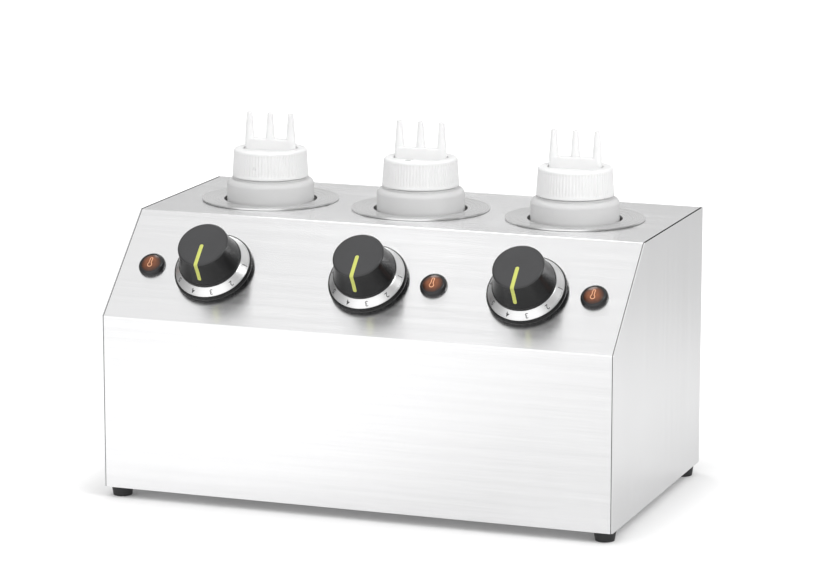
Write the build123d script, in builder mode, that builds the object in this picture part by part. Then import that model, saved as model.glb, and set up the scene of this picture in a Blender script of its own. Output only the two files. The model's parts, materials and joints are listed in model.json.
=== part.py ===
from build123d import *
import os
from math import atan2, cos, degrees, radians, sin

# Three-bottle hot fudge topping warmer. Millimetres, +Z up, -Y is the front with the knobs.
# The origin is on the table under the middle of the whole warmer's bounding box.

# ---- Casing -------------------------------------------------------------------------------
body_width = 430.0          # over both side panels
body_depth = 244.0          # front face to rear face
body_height = 215.0         # lower edge to top plate
front_height = 141.0        # lower edge to the front fold
slope_run = 79.0            # front fold to top fold, measured level
sheet = 1.0                 # stainless sheet of the casing
fold_radius = 2.0           # outside radius of the two folds
seam = 0.6                  # open joint between the folded sheet and each side panel
seat = 0.1                  # play between sheets that lie on each other
return_width = 12.0         # flanges inside the casing

# ---- Feet ---------------------------------------------------------------------------------
foot_height = 9.0
foot_top_radius = 9.0
foot_sole_radius = 7.7
foot_edge = 0.8             # rounding of the sole
foot_inset_x = 10.0         # foot axis in from the side panel
foot_inset_y = 13.5         # foot axis in from the front and rear faces
foot_recess_radius = 4.6    # recess for the screw head
foot_recess_depth = 4.0

# ---- Screws -------------------------------------------------------------------------------
screw_radius = 1.9
screw_hole_play = 0.2       # hole over screw, on the radius
screw_head_radius = 3.5
screw_head_height = 2.4
foot_screw_reach = 6.0      # shank above the foot
rear_screw_reach = 7.0      # shank inside the rear panel
rear_screw_inset = 7.0      # screw axis in from the side panel's inner face
rear_screw_rows = 3
rear_screw_span = 170.0     # lowest row to highest row

# ---- Stations across the width ------------------------------------------------------------
station_count = 3
lamp_from_side = 28.0       # outermost lamp axis in from the side panel's outer face
lamp_offset = 54.6          # lamp axis from its knob's axis
lamp_sides = (-1, 1, 1)     # the first lamp is left of its knob, the others are right
knob_up_slope = 52.4        # knob axis from the front fold, along the slope
lamp_up_slope = 52.4

# ---- Wells --------------------------------------------------------------------------------
well_from_front = 158.0     # well axis from the front face
well_play = 2.6             # cup over bottle, on the radius
well_wall = 0.8
well_floor_height = 20.8    # cup floor above the casing's lower edge
well_corner = 5.0           # inside corner of the cup
flange_gap = 19.0           # between the rims of two neighbours
flange_lift = 1.6           # rim of the dished flange above the top plate
flange_flat = 3.0           # the dish lies on the top plate this far outside the cup
flange_lip_drop = 1.3       # turned-down edge of the rim
well_mouth_radius = 1.6     # rounding from flange to cup
top_hole_play = 1.0         # hole in the top plate over the cup, on the radius

# ---- Heating ------------------------------------------------------------------------------
heater_thickness = 2.6
heater_height = 80.0
heater_above_floor = 14.0
heater_gap_angle = 16.0     # open part of the band, degrees
heater_ear_length = 11.0
heater_ear_thickness = 1.6
clamp_screw_count = 2
clamp_screw_pitch = 50.0
bulb_radius = 3.0           # feeler of the thermostat
bulb_length = 62.0
bulb_below_top = 22.0       # top of the feeler under the top plate
bulb_clip_wall = 0.8
bulb_clip_height = 8.0
bulb_clip_pitch = 40.0
bulb_play = 0.1
capillary_radius = 0.9
capillary_drop = 24.0       # straight run out of the thermostat
capillary_dip = 12.0        # lowest point under the feeler
capillary_bends = (9.0, 5.0)

# ---- Thermostats --------------------------------------------------------------------------
thermostat_width = 40.0
thermostat_length = 34.0    # along the slope
thermostat_depth = 27.0
thermostat_plate = 1.6      # mounting plate against the panel
thermostat_plate_width = 46.0
thermostat_plate_length = 26.0
thermostat_screw_pitch = 28.0
thermostat_screw_reach = 4.0
bush_radius = 5.0           # threaded bush round the shaft
bush_height = 5.0           # above the panel
shaft_radius = 3.0
shaft_play = 0.05
shaft_top = 27.0            # above the panel
shaft_flat = 0.8            # depth of the D flat
shaft_tail = 12.0           # shaft inside the thermostat
tab_width = 6.3             # spade terminals
tab_thickness = 0.8
tab_length = 9.0

# ---- Dial ---------------------------------------------------------------------------------
dial_height = 6.5           # edge of the rim round the ring
dial_lip = 0.6              # rim outside the bright ring
dial_belly = 1.1            # widest part of the rim beyond its edge
dial_belly_height = 2.1
dial_undercut = 1.2         # rim drawn in from the belly to the panel
dial_edge = 0.5             # rounding of the rim
dial_floor = 3.0
ring_radius = 30.9
ring_inner_radius = 25.0
ring_rise = 5.2             # inner edge of the coned ring over its outer edge
ring_thickness = 0.8
ring_ledge = 0.8            # ring over the open middle of the rim
ring_play = 0.1

# ---- Knob ---------------------------------------------------------------------------------
knob_lift = 0.5             # knob over the inner edge of the ring
knob_skirt_radius = 25.7
knob_skirt_height = 3.0
knob_cap_radius = 20.8
knob_top = 36.0             # above the panel
knob_edge = 1.8             # rounding of the cap
knob_waist = 22.3           # radius of the flank at half height
knob_wall = 2.4
knob_hub_radius = 6.5
knob_cap_wall = 3.4
pointer_width = 3.1
pointer_depth = 0.6
pointer_start = 0.8         # inner end of the pointer from the knob axis
pointer_skirt_gap = 3.2     # lower end of the pointer above the skirt

# ---- Indicator lamps ----------------------------------------------------------------------
lamp_radius = 11.0
lamp_height = 4.2
lamp_lip = 0.7              # bezel outside the lens
lamp_body_radius = 7.8
lamp_body_length = 24.0
lens_radius = 8.1
lens_crown = 1.5            # dome above the bezel
lens_depth = 2.0
lens_play = 0.1

# ---- Bottles ------------------------------------------------------------------------------
bottle_radius = 36.0
bottle_wall = 1.5
bottle_base_radius = 5.0    # rounding at the base
bottle_play = 0.2           # bottle over the cup floor
base_dome = 2.5             # push-up under the bottle
shoulder_above_top = 18.0   # shoulder above the top plate
shoulder_radius = 5.0
neck_radius = 26.6
neck_wall = 1.6
collar_height = 23.0
collar_wall = 1.7           # at the head, behind the ribs
collar_taper = 1.6          # foot over head, on the radius
thread_room = 1.7           # collar bore over neck, on the radius
collar_lift = 2.0           # collar over the shoulder
collar_lip = 1.6            # top lip that holds the nozzle insert down
collar_edge = 1.0
rib_count = 72
rib_depth = 0.5
rib_margin = 2.6            # plain band below and above the ribs
cap_play = 0.15             # insert over the neck, and collar over the insert
side_play = 0.4             # running gap round the insert's rim, bar and plug

# ---- Nozzle insert ------------------------------------------------------------------------
insert_thickness = 1.4
bar_above_collar = 7.7
bar_edge = 0.9
nozzle_pitch = 18.3
nozzle_length = 21.5
nozzle_base_radius = 3.9
nozzle_tip_radius = 2.25
nozzle_bore_tip = 1.3
nozzle_bore_base = 2.7
nozzle_count = 3
plug_depth = 4.5
plug_wall = 1.3

# ---- Supply -------------------------------------------------------------------------------
vent_length = 36.0
vent_width = 3.0
vent_pitch = 9.0
rear_vent_rows = 5
base_vent_rows = 4
rear_vent_height = 96.0     # middle of the rear vents above the lower edge
gland_from_side = 65.0      # gland axis in from the side panel's outer face
gland_above_edge = 26.0
gland_thread_radius = 7.5
gland_hex = 22.0            # across flats
gland_hex_thickness = 5.0
gland_reach = 15.0          # beyond the rear face
gland_dome_radius = 8.6
gland_bore_radius = 3.6
gland_thread_length = 11.0
gland_nut_thickness = 4.0
block_from_rear = 26.0
block_width = 44.0
block_depth = 17.0
block_height = 15.0
block_poles = 5
block_pole_pitch = 8.0

# ---- Worked out from the sizes above --------------------------------------------------------
slope_angle = atan2(body_height - front_height, slope_run)
slope_cos = cos(slope_angle)
slope_sin = sin(slope_angle)
cap_reach = (knob_cap_radius - knob_edge) * slope_cos + (knob_top - knob_edge) * slope_sin + knob_edge
knob_overhang = max(cap_reach - knob_up_slope * slope_cos, 0.0)
front_y = knob_overhang - (knob_overhang + body_depth + gland_reach) / 2
rear_y = front_y + body_depth
fold_z = foot_height + front_height
top_z = foot_height + body_height
well_y = front_y + well_from_front
inner_half = body_width / 2 - sheet            # inner face of a side panel
sheet_half = inner_half - seam                 # end of the folded sheet
flange_half = inner_half - return_width - seam # end of the flanges between the side panels
lap = sheet + seat                             # how far a covered flange lies under the skin
screw_hole = screw_radius + screw_hole_play
# the outer lamps set how far out the end stations lie, and so the pitch of wells and knobs
station_pitch = (body_width - 2 * (lamp_from_side + lamp_offset)) / (station_count - 1)
stations = [station_pitch * (i - (station_count - 1) / 2) for i in range(station_count)]
lamps = [x + side * lamp_offset for x, side in zip(stations, lamp_sides)]
slope_normal = (0, -slope_sin, slope_cos)
well_radius = bottle_radius + well_play
well_outer = well_radius + well_wall
flange_radius = (station_pitch - flange_gap) / 2
flange_flat_radius = well_outer + flange_flat
well_floor_z = foot_height + well_floor_height
top_hole_radius = well_outer + top_hole_play
bottle_z = well_floor_z + bottle_play
shoulder_z = top_z + shoulder_above_top
collar_z = shoulder_z + collar_lift
collar_top_z = collar_z + collar_height
insert_top_z = collar_top_z - collar_lip - cap_play
insert_z = insert_top_z - insert_thickness
neck_top_z = insert_z - cap_play
bar_top_z = collar_top_z + bar_above_collar
nozzle_tip_z = bar_top_z + nozzle_length
knob_base = dial_height + ring_rise + knob_lift
dial_radius = ring_radius + ring_play + dial_lip
dial_belly_radius = dial_radius + dial_belly
ring_drop = ring_thickness / cos(atan2(ring_rise, ring_radius - ring_inner_radius))
lamp_shoulder_radius = lens_radius + lens_play + lamp_lip
collar_bore = neck_radius + thread_room
collar_head_radius = collar_bore + collar_wall
collar_foot_radius = collar_head_radius + collar_taper
bar_half = nozzle_pitch + nozzle_base_radius
collar_hole_radius = bar_half + side_play
foot_x = body_width / 2 - foot_inset_x
gland_x = body_width / 2 - gland_from_side
block_x = station_pitch / 2
foot_ys = (front_y + foot_inset_y, rear_y - foot_inset_y)
base_top_z = foot_height + 2 * sheet

os.makedirs("parts", exist_ok=True)


def save(part, name):
    """Label a finished piece and write its STEP file."""
    part.label = name
    export_step(part, f"parts/{name}.step")
    print(f"{name}: {len(part.solids())} solid(s), {part.volume:.0f} mm3")


def casing_outline(inset, rear_inset=0.0, bottom_inset=0.0):
    """Side view of the casing as (Y, Z) corners, moved in by `inset` at the front, slope and top."""
    fold_shift = inset * (1 - slope_sin) / slope_cos
    top_shift = inset * (1 - slope_cos) / slope_sin
    return [
        (front_y + inset, foot_height + bottom_inset),
        (front_y + inset, fold_z - fold_shift),
        (front_y + slope_run + top_shift, top_z - inset),
        (rear_y - rear_inset, top_z - inset),
        (rear_y - rear_inset, foot_height + bottom_inset),
    ]


def slope_plane(x, up_slope, height=0.0):
    """Plane parallel to the sloped panel; +Y of the plane runs up the slope."""
    origin = (
        x,
        front_y + up_slope * slope_cos - height * slope_sin,
        fold_z + up_slope * slope_sin + height * slope_cos,
    )
    return Plane(origin=origin, x_dir=(1, 0, 0), z_dir=slope_normal)


def slope_profile(x, up_slope):
    """Plane through an axis square to the slope: +X is the radius, +Y the height over the panel."""
    base = slope_plane(x, up_slope)
    return Plane(origin=base.origin, x_dir=(1, 0, 0), z_dir=(0, -slope_cos, -slope_sin))


def slope_axis(x, up_slope):
    return Axis(slope_plane(x, up_slope).origin, slope_normal)


def upright_profile(x, y):
    """Upright plane through a vertical axis: +X is the radius, +Y is the world's Z."""
    return Plane(origin=(x, y, 0), x_dir=(1, 0, 0), z_dir=(0, -1, 0))


def upright_axis(x, y):
    return Axis((x, y, 0), (0, 0, 1))


rear_screw_spots = [
    (side * (inner_half - rear_screw_inset), foot_height + body_height / 2 + row)
    for side in (-1, 1)
    for row in [rear_screw_span * (k / (rear_screw_rows - 1) - 0.5) for k in range(rear_screw_rows)]
]
foot_spots = [(side * foot_x, y) for y in foot_ys for side in (-1, 1)]


# ---- Folded sheet: front, slope and top in one piece ----------------------------------------
with BuildPart() as wrap_shell:
    with BuildSketch(Plane.YZ):
        with BuildLine():
            outside = FilletPolyline(*casing_outline(0)[:4], radius=fold_radius)
            inside = FilletPolyline(*casing_outline(sheet)[:4], radius=fold_radius - sheet)
            Line(outside @ 0, inside @ 0)
            Line(outside @ 1, inside @ 1)
        make_face()
    extrude(amount=sheet_half, both=True)
    # return flange under the front and hanging flange behind the rear panel's upper edge
    with BuildSketch(Plane.YZ):
        with Locations((front_y + sheet + return_width / 2, foot_height + sheet / 2)):
            Rectangle(return_width, sheet)
        with Locations((rear_y - lap - sheet / 2, top_z - sheet - return_width / 2)):
            Rectangle(sheet, return_width)
    extrude(amount=flange_half, both=True)
    # openings for the cups
    with BuildSketch(Plane.XY.offset(top_z)):
        with Locations(*[(x, well_y) for x in stations]):
            Circle(top_hole_radius)
    extrude(amount=-2 * sheet, mode=Mode.SUBTRACT)
    # openings in the slope: thermostat bushes, their screws, and the lamps
    for x in stations:
        with BuildSketch(slope_plane(x, knob_up_slope, sheet)):
            Circle(bush_radius + screw_hole_play)
            with GridLocations(thermostat_screw_pitch, 0, 2, 1):
                Circle(screw_hole)
        extrude(amount=-3 * sheet, mode=Mode.SUBTRACT)
    for x in lamps:
        with BuildSketch(slope_plane(x, lamp_up_slope, sheet)):
            Circle(lamp_body_radius + lens_play)
        extrude(amount=-3 * sheet, mode=Mode.SUBTRACT)
save(wrap_shell.part, "wrap_shell")


# ---- Side panels with their welded return flanges --------------------------------------------
def side_panel(side):
    """Flat side with a flange frame one sheet below the skin; side is -1 for left, 1 for right."""
    with BuildPart() as panel:
        with BuildSketch(Plane.YZ.offset(side * inner_half)):
            with BuildLine():
                FilletPolyline(*casing_outline(0), radius=fold_radius / 2, close=True)
            make_face()
        extrude(amount=side * sheet)
        with BuildSketch(Plane.YZ.offset(side * inner_half)):
            with BuildLine():
                FilletPolyline(*casing_outline(lap, lap), radius=fold_radius, close=True)
            make_face()
            with BuildLine():
                FilletPolyline(
                    *casing_outline(lap + sheet, lap + sheet, sheet),
                    radius=fold_radius - sheet, close=True
                )
            make_face(mode=Mode.SUBTRACT)
        extrude(amount=-side * return_width)
        with BuildSketch(Plane.XY.offset(foot_height)):
            with Locations(*[(side * foot_x, y) for y in foot_ys]):
                Circle(screw_hole)
        extrude(amount=2 * sheet, mode=Mode.SUBTRACT)
        with BuildSketch(Plane.XZ.offset(-rear_y)):
            with Locations(*rear_screw_spots):
                Circle(screw_hole)
        extrude(amount=3 * sheet, mode=Mode.SUBTRACT)
    return panel.part


save(side_panel(-1), "side_panel_left")
save(side_panel(1), "side_panel_right")


# ---- Rear panel, screwed on, with vents and the cable hole -----------------------------------
rear_panel_height = body_height - 2 * seam - sheet
with BuildPart() as rear_panel:
    with BuildSketch(Plane.XZ.offset(-rear_y)):
        with Locations((0, foot_height + seam + rear_panel_height / 2)):
            Rectangle(2 * sheet_half, rear_panel_height)
        with Locations(*rear_screw_spots):
            Circle(screw_hole, mode=Mode.SUBTRACT)
        with Locations((gland_x, foot_height + gland_above_edge)):
            Circle(gland_thread_radius + screw_hole_play, mode=Mode.SUBTRACT)
        for x in stations:
            with Locations((x, foot_height + rear_vent_height)):
                with GridLocations(0, vent_pitch, 1, rear_vent_rows):
                    SlotOverall(vent_length, vent_width, mode=Mode.SUBTRACT)
    extrude(amount=sheet)
save(rear_panel.part, "rear_panel")


# ---- Base plate, lying on the return flanges --------------------------------------------------
base_front_y = front_y + lap + fold_radius
base_rear_y = rear_y - lap - fold_radius
with BuildPart() as base_plate:
    with BuildSketch(Plane.XY.offset(foot_height + sheet)):
        with Locations((0, (base_front_y + base_rear_y) / 2)):
            Rectangle(2 * sheet_half, base_rear_y - base_front_y)
        with Locations(*foot_spots):
            Circle(screw_hole, mode=Mode.SUBTRACT)
        for x in stations:
            with Locations((x, well_y)):
                with GridLocations(0, vent_pitch, 1, base_vent_rows):
                    SlotOverall(vent_length, vent_width, mode=Mode.SUBTRACT)
    extrude(amount=sheet)
save(base_plate.part, "base_plate")


# ---- Rubber feet and their screws --------------------------------------------------------------
for number, (x, y) in enumerate(foot_spots, start=1):
    with BuildPart() as foot:
        with BuildSketch(upright_profile(x, y)):
            Polygon(
                (screw_hole, 0), (foot_sole_radius, 0), (foot_top_radius, foot_height),
                (screw_hole, foot_height), align=None
            )
            with Locations(((screw_hole + foot_recess_radius) / 2, foot_recess_depth / 2)):
                Rectangle(foot_recess_radius - screw_hole, foot_recess_depth, mode=Mode.SUBTRACT)
        revolve(axis=upright_axis(x, y))
        fillet(foot.edges().group_by(Axis.Z)[0].sort_by(SortBy.RADIUS)[-1], foot_edge)
    save(foot.part, f"foot_{number}")

with BuildPart() as foot_screws:
    with BuildSketch(Plane.XY.offset(foot_recess_depth - screw_head_height)):
        with Locations(*foot_spots):
            Circle(screw_head_radius)
    extrude(amount=screw_head_height)
    with BuildSketch(Plane.XY.offset(foot_recess_depth)):
        with Locations(*foot_spots):
            Circle(screw_radius)
    extrude(amount=foot_height - foot_recess_depth + foot_screw_reach)
save(foot_screws.part, "foot_screws")

with BuildPart() as rear_panel_screws:
    with BuildSketch(Plane.XZ.offset(-rear_y)):
        with Locations(*rear_screw_spots):
            Circle(screw_head_radius)
    extrude(amount=-screw_head_height)
    with BuildSketch(Plane.XZ.offset(-rear_y)):
        with Locations(*rear_screw_spots):
            Circle(screw_radius)
    extrude(amount=rear_screw_reach)
    fillet(rear_panel_screws.edges().group_by(Axis.Y)[-1], screw_head_height / 3)
save(rear_panel_screws.part, "rear_panel_screws")


# ---- Wells: spun cups with a dished flange that hangs on the top plate ---------------------------
bulb_y = well_y - well_outer - bulb_radius - bulb_play
bulb_top_z = top_z - bulb_below_top
bulb_z = bulb_top_z - bulb_length
bulb_mid_z = bulb_z + bulb_length / 2


def well_cup(x):
    """One cup with its flange, its floor and two welded clips for the feeler."""
    with BuildPart() as cup:
        for z in (bulb_mid_z - bulb_clip_pitch / 2, bulb_mid_z + bulb_clip_pitch / 2):
            with BuildSketch(Plane.XY.offset(z - bulb_clip_height / 2)):
                with Locations((x, bulb_y)):
                    Circle(bulb_radius + bulb_play + bulb_clip_wall)
                    Circle(bulb_radius + bulb_play, mode=Mode.SUBTRACT)
                with Locations((x, well_y)):
                    Circle(well_outer - well_wall / 2, mode=Mode.SUBTRACT)
            extrude(amount=bulb_clip_height)
        with BuildSketch(upright_profile(x, well_y)):
            with BuildLine():
                Polyline(
                    (0, well_floor_z - well_wall),
                    (well_outer, well_floor_z - well_wall),
                    (well_outer, top_z),
                    (flange_flat_radius, top_z),
                    (flange_radius - well_wall, top_z + flange_lift - well_wall),
                    (flange_radius - well_wall, top_z + flange_lift - flange_lip_drop),
                    (flange_radius, top_z + flange_lift - flange_lip_drop),
                    (flange_radius, top_z + flange_lift),
                    (flange_flat_radius, top_z + well_wall),
                    (well_radius, top_z + well_wall),
                    (well_radius, well_floor_z),
                    (0, well_floor_z),
                    close=True
                )
            profile = make_face()
            corners = profile.vertices()
            outer_corner = corners.sort_by_distance((well_outer, well_floor_z - well_wall))[0]
            inner_corner = corners.sort_by_distance((well_radius, well_floor_z))[0]
            mouth = corners.sort_by_distance((well_radius, top_z + well_wall))[0]
            rim = corners.sort_by_distance((flange_radius, top_z + flange_lift))[0]
            fillet(outer_corner, well_corner + well_wall)
            fillet(inner_corner, well_corner)
            fillet(mouth, well_mouth_radius)
            fillet(rim, well_wall * 0.8)
        revolve(axis=upright_axis(x, well_y))
    return cup.part


for number, x in enumerate(stations, start=1):
    save(well_cup(x), f"well_cup_{number}")


# ---- Heater bands clamped round the cups ---------------------------------------------------------
heater_inner = well_outer + seat
heater_outer = heater_inner + heater_thickness
heater_z = well_floor_z + heater_above_floor
heater_gap = 2 * heater_inner * sin(radians(heater_gap_angle / 2))
ear_centre_x = heater_gap / 2 + heater_ear_thickness / 2
ear_tip_y = well_y - heater_outer - heater_ear_length
clamp_y = ear_tip_y + heater_ear_length / 2


def heater_band(x):
    """Open band with two ears at the front, drawn together by the clamp screws."""
    with BuildPart() as band:
        with BuildSketch(Plane.XY.offset(heater_z)):
            with Locations((x, well_y)):
                Circle(heater_outer)
            for side in (-1, 1):
                with Locations((x + side * ear_centre_x, (ear_tip_y + well_y) / 2)):
                    Rectangle(heater_ear_thickness, well_y - ear_tip_y)
            with Locations((x, (ear_tip_y + well_y) / 2)):
                Rectangle(heater_gap, well_y - ear_tip_y, mode=Mode.SUBTRACT)
            with Locations((x, well_y)):
                Circle(heater_inner, mode=Mode.SUBTRACT)
        extrude(amount=heater_height)
        with BuildSketch(Plane.YZ.offset(x - heater_gap)):
            with Locations((clamp_y, heater_z + heater_height / 2)):
                with GridLocations(0, clamp_screw_pitch, 1, clamp_screw_count):
                    Circle(screw_hole)
        extrude(amount=2 * heater_gap, mode=Mode.SUBTRACT)
    return band.part


for number, x in enumerate(stations, start=1):
    save(heater_band(x), f"heater_band_{number}")

clamp_half = heater_gap / 2 + heater_ear_thickness
with BuildPart() as clamp_screws:
    for x in stations:
        with BuildSketch(Plane.YZ.offset(x - clamp_half - screw_head_height)):
            with Locations((clamp_y, heater_z + heater_height / 2)):
                with GridLocations(0, clamp_screw_pitch, 1, clamp_screw_count):
                    RegularPolygon(screw_head_radius, 6)
        extrude(amount=screw_head_height)
        with BuildSketch(Plane.YZ.offset(x - clamp_half)):
            with Locations((clamp_y, heater_z + heater_height / 2)):
                with GridLocations(0, clamp_screw_pitch, 1, clamp_screw_count):
                    Circle(screw_radius)
        extrude(amount=2 * clamp_half)
        with BuildSketch(Plane.YZ.offset(x + clamp_half)):
            with Locations((clamp_y, heater_z + heater_height / 2)):
                with GridLocations(0, clamp_screw_pitch, 1, clamp_screw_count):
                    RegularPolygon(screw_head_radius, 6)
        extrude(amount=screw_head_height)
save(clamp_screws.part, "clamp_screws")


# ---- Thermostats behind the slope, with spindle, feeler and screws -------------------------------
plate_back = sheet + thermostat_plate
thermostat_back = plate_back + thermostat_depth
spindle_depth = plate_back + shaft_tail


def thermostat(x):
    """Mounting plate, block, threaded bush and two terminals."""
    with BuildPart() as body:
        with BuildSketch(slope_plane(x, knob_up_slope, -sheet)):
            RectangleRounded(thermostat_plate_width, thermostat_plate_length, screw_head_radius)
        extrude(amount=-thermostat_plate)
        with BuildSketch(slope_plane(x, knob_up_slope, -plate_back)):
            RectangleRounded(thermostat_width, thermostat_length, sheet)
        extrude(amount=-thermostat_depth)
        with BuildSketch(slope_plane(x, knob_up_slope, -sheet)):
            Circle(bush_radius)
        extrude(amount=sheet + bush_height)
        with BuildSketch(slope_plane(x, knob_up_slope, bush_height)):
            Circle(shaft_radius + shaft_play)
        extrude(amount=-(bush_height + spindle_depth + seat), mode=Mode.SUBTRACT)
        with BuildSketch(slope_plane(x, knob_up_slope, -sheet)):
            with GridLocations(thermostat_screw_pitch, 0, 2, 1):
                Circle(screw_hole)
        extrude(amount=-(thermostat_screw_reach + sheet), mode=Mode.SUBTRACT)
        with BuildSketch(slope_plane(x, knob_up_slope, -thermostat_back)):
            with GridLocations(thermostat_width / 2, 0, 2, 1):
                Rectangle(tab_width, tab_thickness)
        extrude(amount=-tab_length)
    return body.part


def spindle(x):
    """Round spindle with a D flat where the knob grips it."""
    with BuildPart() as shaft:
        with BuildSketch(slope_plane(x, knob_up_slope, -spindle_depth)):
            Circle(shaft_radius)
        extrude(amount=spindle_depth + shaft_top)
        with BuildSketch(slope_plane(x, knob_up_slope, shaft_top)):
            with Locations((0, shaft_radius - shaft_flat / 2)):
                Rectangle(2 * shaft_radius, shaft_flat)
        extrude(amount=-(shaft_top - knob_base), mode=Mode.SUBTRACT)
    return shaft.part


def sensor(x):
    """Feeler in its clips and the capillary tube that leads to the thermostat."""
    start = slope_plane(x, knob_up_slope, -thermostat_back).origin
    drop = slope_plane(x, knob_up_slope, -(thermostat_back + capillary_drop)).origin
    with BuildPart() as line:
        with BuildLine():
            path = FilletPolyline(
                start, drop, (x, bulb_y, bulb_z - capillary_dip), (x, bulb_y, bulb_z),
                radius=capillary_bends
            )
        with BuildSketch(Plane(origin=path @ 0, z_dir=path % 0)):
            Circle(capillary_radius)
        sweep(path=path)
        with BuildSketch(Plane.XY.offset(bulb_z)):
            with Locations((x, bulb_y)):
                Circle(bulb_radius)
        extrude(amount=bulb_length)
        fillet(line.edges().group_by(Axis.Z)[-1], bulb_radius / 2)
    return line.part


for number, x in enumerate(stations, start=1):
    save(thermostat(x), f"thermostat_{number}")
    save(spindle(x), f"spindle_{number}")
    save(sensor(x), f"sensor_{number}")

with BuildPart() as thermostat_screws:
    for x in stations:
        with BuildSketch(slope_plane(x, knob_up_slope, dial_floor)):
            with GridLocations(thermostat_screw_pitch, 0, 2, 1):
                Circle(screw_head_radius)
        extrude(amount=screw_head_height)
        with BuildSketch(slope_plane(x, knob_up_slope, dial_floor)):
            with GridLocations(thermostat_screw_pitch, 0, 2, 1):
                Circle(screw_radius)
        extrude(amount=-(dial_floor + sheet + thermostat_screw_reach))
save(thermostat_screws.part, "thermostat_screws")


# ---- Dials: black rim fixed on the panel, bright ring let into it --------------------------------
def ring_face(radius):
    """Height of the coned ring's face at a radius."""
    return dial_height + ring_rise * (ring_radius - radius) / (ring_radius - ring_inner_radius)


def dial_rim(x):
    """Moulded cup under the knob, held by the thermostat's screws."""
    seat_outer = ring_radius + ring_play
    seat_inner = ring_inner_radius + ring_ledge
    with BuildPart() as rim:
        with BuildSketch(slope_profile(x, knob_up_slope)):
            with BuildLine():
                Polyline(
                    (bush_radius + ring_play, 0),
                    (dial_belly_radius - dial_undercut, 0),
                    (dial_belly_radius, dial_belly_height),
                    (dial_radius, dial_height),
                    (seat_outer, dial_height),
                    (seat_outer, ring_face(seat_outer) - ring_drop),
                    (seat_inner, ring_face(seat_inner) - ring_drop),
                    (seat_inner, dial_floor),
                    (bush_radius + ring_play, dial_floor),
                    close=True
                )
            profile = make_face()
            corners = profile.vertices()
            fillet(corners.sort_by_distance((dial_radius, dial_height))[0], dial_edge)
            fillet(corners.sort_by_distance((dial_belly_radius, dial_belly_height))[0], dial_belly)
        revolve(axis=slope_axis(x, knob_up_slope))
        with BuildSketch(slope_plane(x, knob_up_slope, dial_floor)):
            with GridLocations(thermostat_screw_pitch, 0, 2, 1):
                Circle(screw_hole)
        extrude(amount=-dial_floor, mode=Mode.SUBTRACT)
    return rim.part


def dial_ring(x):
    """Coned ring that rises from the rim to the knob's skirt."""
    with BuildPart() as ring:
        with BuildSketch(slope_profile(x, knob_up_slope)):
            Polygon(
                (ring_radius, dial_height), (ring_inner_radius, dial_height + ring_rise),
                (ring_inner_radius, dial_height + ring_rise - ring_drop),
                (ring_radius, dial_height - ring_drop), align=None
            )
        revolve(axis=slope_axis(x, knob_up_slope))
    return ring.part


# ---- Knobs with an inlaid pointer ----------------------------------------------------------------
def knob_outline(inset):
    """Outer half-profile of the knob, moved in by `inset`, as (radius, height) construction points."""
    skirt_top = knob_base + knob_skirt_height
    return {
        "skirt_foot": (knob_skirt_radius - inset, knob_base),
        "skirt_top": (knob_skirt_radius - inset, skirt_top),
        "waist": (knob_waist - inset, (skirt_top + knob_top) / 2),
        "cap": (knob_cap_radius - inset, knob_top - knob_edge),
        "cap_corner": (knob_cap_radius - inset - (knob_edge - inset) * (1 - cos(radians(45))),
                       knob_top - knob_edge + (knob_edge - inset) * sin(radians(45))),
        "cap_top": (knob_cap_radius - knob_edge, knob_top - inset),
        "middle": (0, knob_top - inset),
    }


def knob_profile(inset):
    """Edges of the knob's closed half-section, `inset` inside its skin."""
    points = knob_outline(inset)
    with BuildLine() as outline:
        Line((0, knob_base), points["skirt_foot"])
        Line(points["skirt_foot"], points["skirt_top"])
        ThreePointArc(points["skirt_top"], points["waist"], points["cap"])
        ThreePointArc(points["cap"], points["cap_corner"], points["cap_top"])
        Line(points["cap_top"], points["middle"])
        Line(points["middle"], (0, knob_base))
    return outline.edges()


def knob_pointer(x):
    """Inlay that runs from the middle of the cap over its edge and down the flank."""
    low = knob_base + knob_skirt_height + pointer_skirt_gap
    reach = knob_skirt_radius - pointer_start
    with BuildPart() as pointer:
        with BuildSketch(slope_profile(x, knob_up_slope)):
            make_face(knob_profile(0))
            make_face(knob_profile(pointer_depth), mode=Mode.SUBTRACT)
        revolve(axis=slope_axis(x, knob_up_slope))
        with BuildSketch(slope_plane(x, knob_up_slope, low)):
            with Locations((0, -pointer_start - reach / 2)):
                Rectangle(pointer_width, reach)
            with Locations((0, -pointer_start)):
                Circle(pointer_width / 2)
        extrude(amount=knob_top, mode=Mode.INTERSECT)
    return pointer.part


def knob(x, pointer):
    """Hollow grip with a hub that fits the spindle's D flat and a groove for the pointer."""
    skirt_inside = knob_skirt_radius - knob_wall
    cavity_top = knob_top - knob_cap_wall
    with BuildPart() as grip:
        with BuildSketch(slope_profile(x, knob_up_slope)):
            make_face(knob_profile(0))
            with BuildLine():
                Polyline(
                    (knob_hub_radius, knob_base),
                    (skirt_inside, knob_base),
                    (skirt_inside, knob_base + knob_skirt_height),
                    (knob_waist - knob_wall - pointer_depth, (knob_base + knob_top) / 2),
                    (knob_cap_radius - knob_wall - pointer_depth, cavity_top),
                    (knob_hub_radius, cavity_top),
                    close=True
                )
            make_face(mode=Mode.SUBTRACT)
        revolve(axis=slope_axis(x, knob_up_slope))
        with BuildSketch(slope_plane(x, knob_up_slope, knob_base)):
            Circle(shaft_radius + shaft_play)
            with Locations((0, shaft_radius + shaft_play - shaft_flat / 2)):
                Rectangle(2 * shaft_radius + 1, shaft_flat, mode=Mode.SUBTRACT)
        extrude(amount=shaft_top + seat - knob_base, mode=Mode.SUBTRACT)
        add(pointer, mode=Mode.SUBTRACT)
    return grip.part


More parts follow.
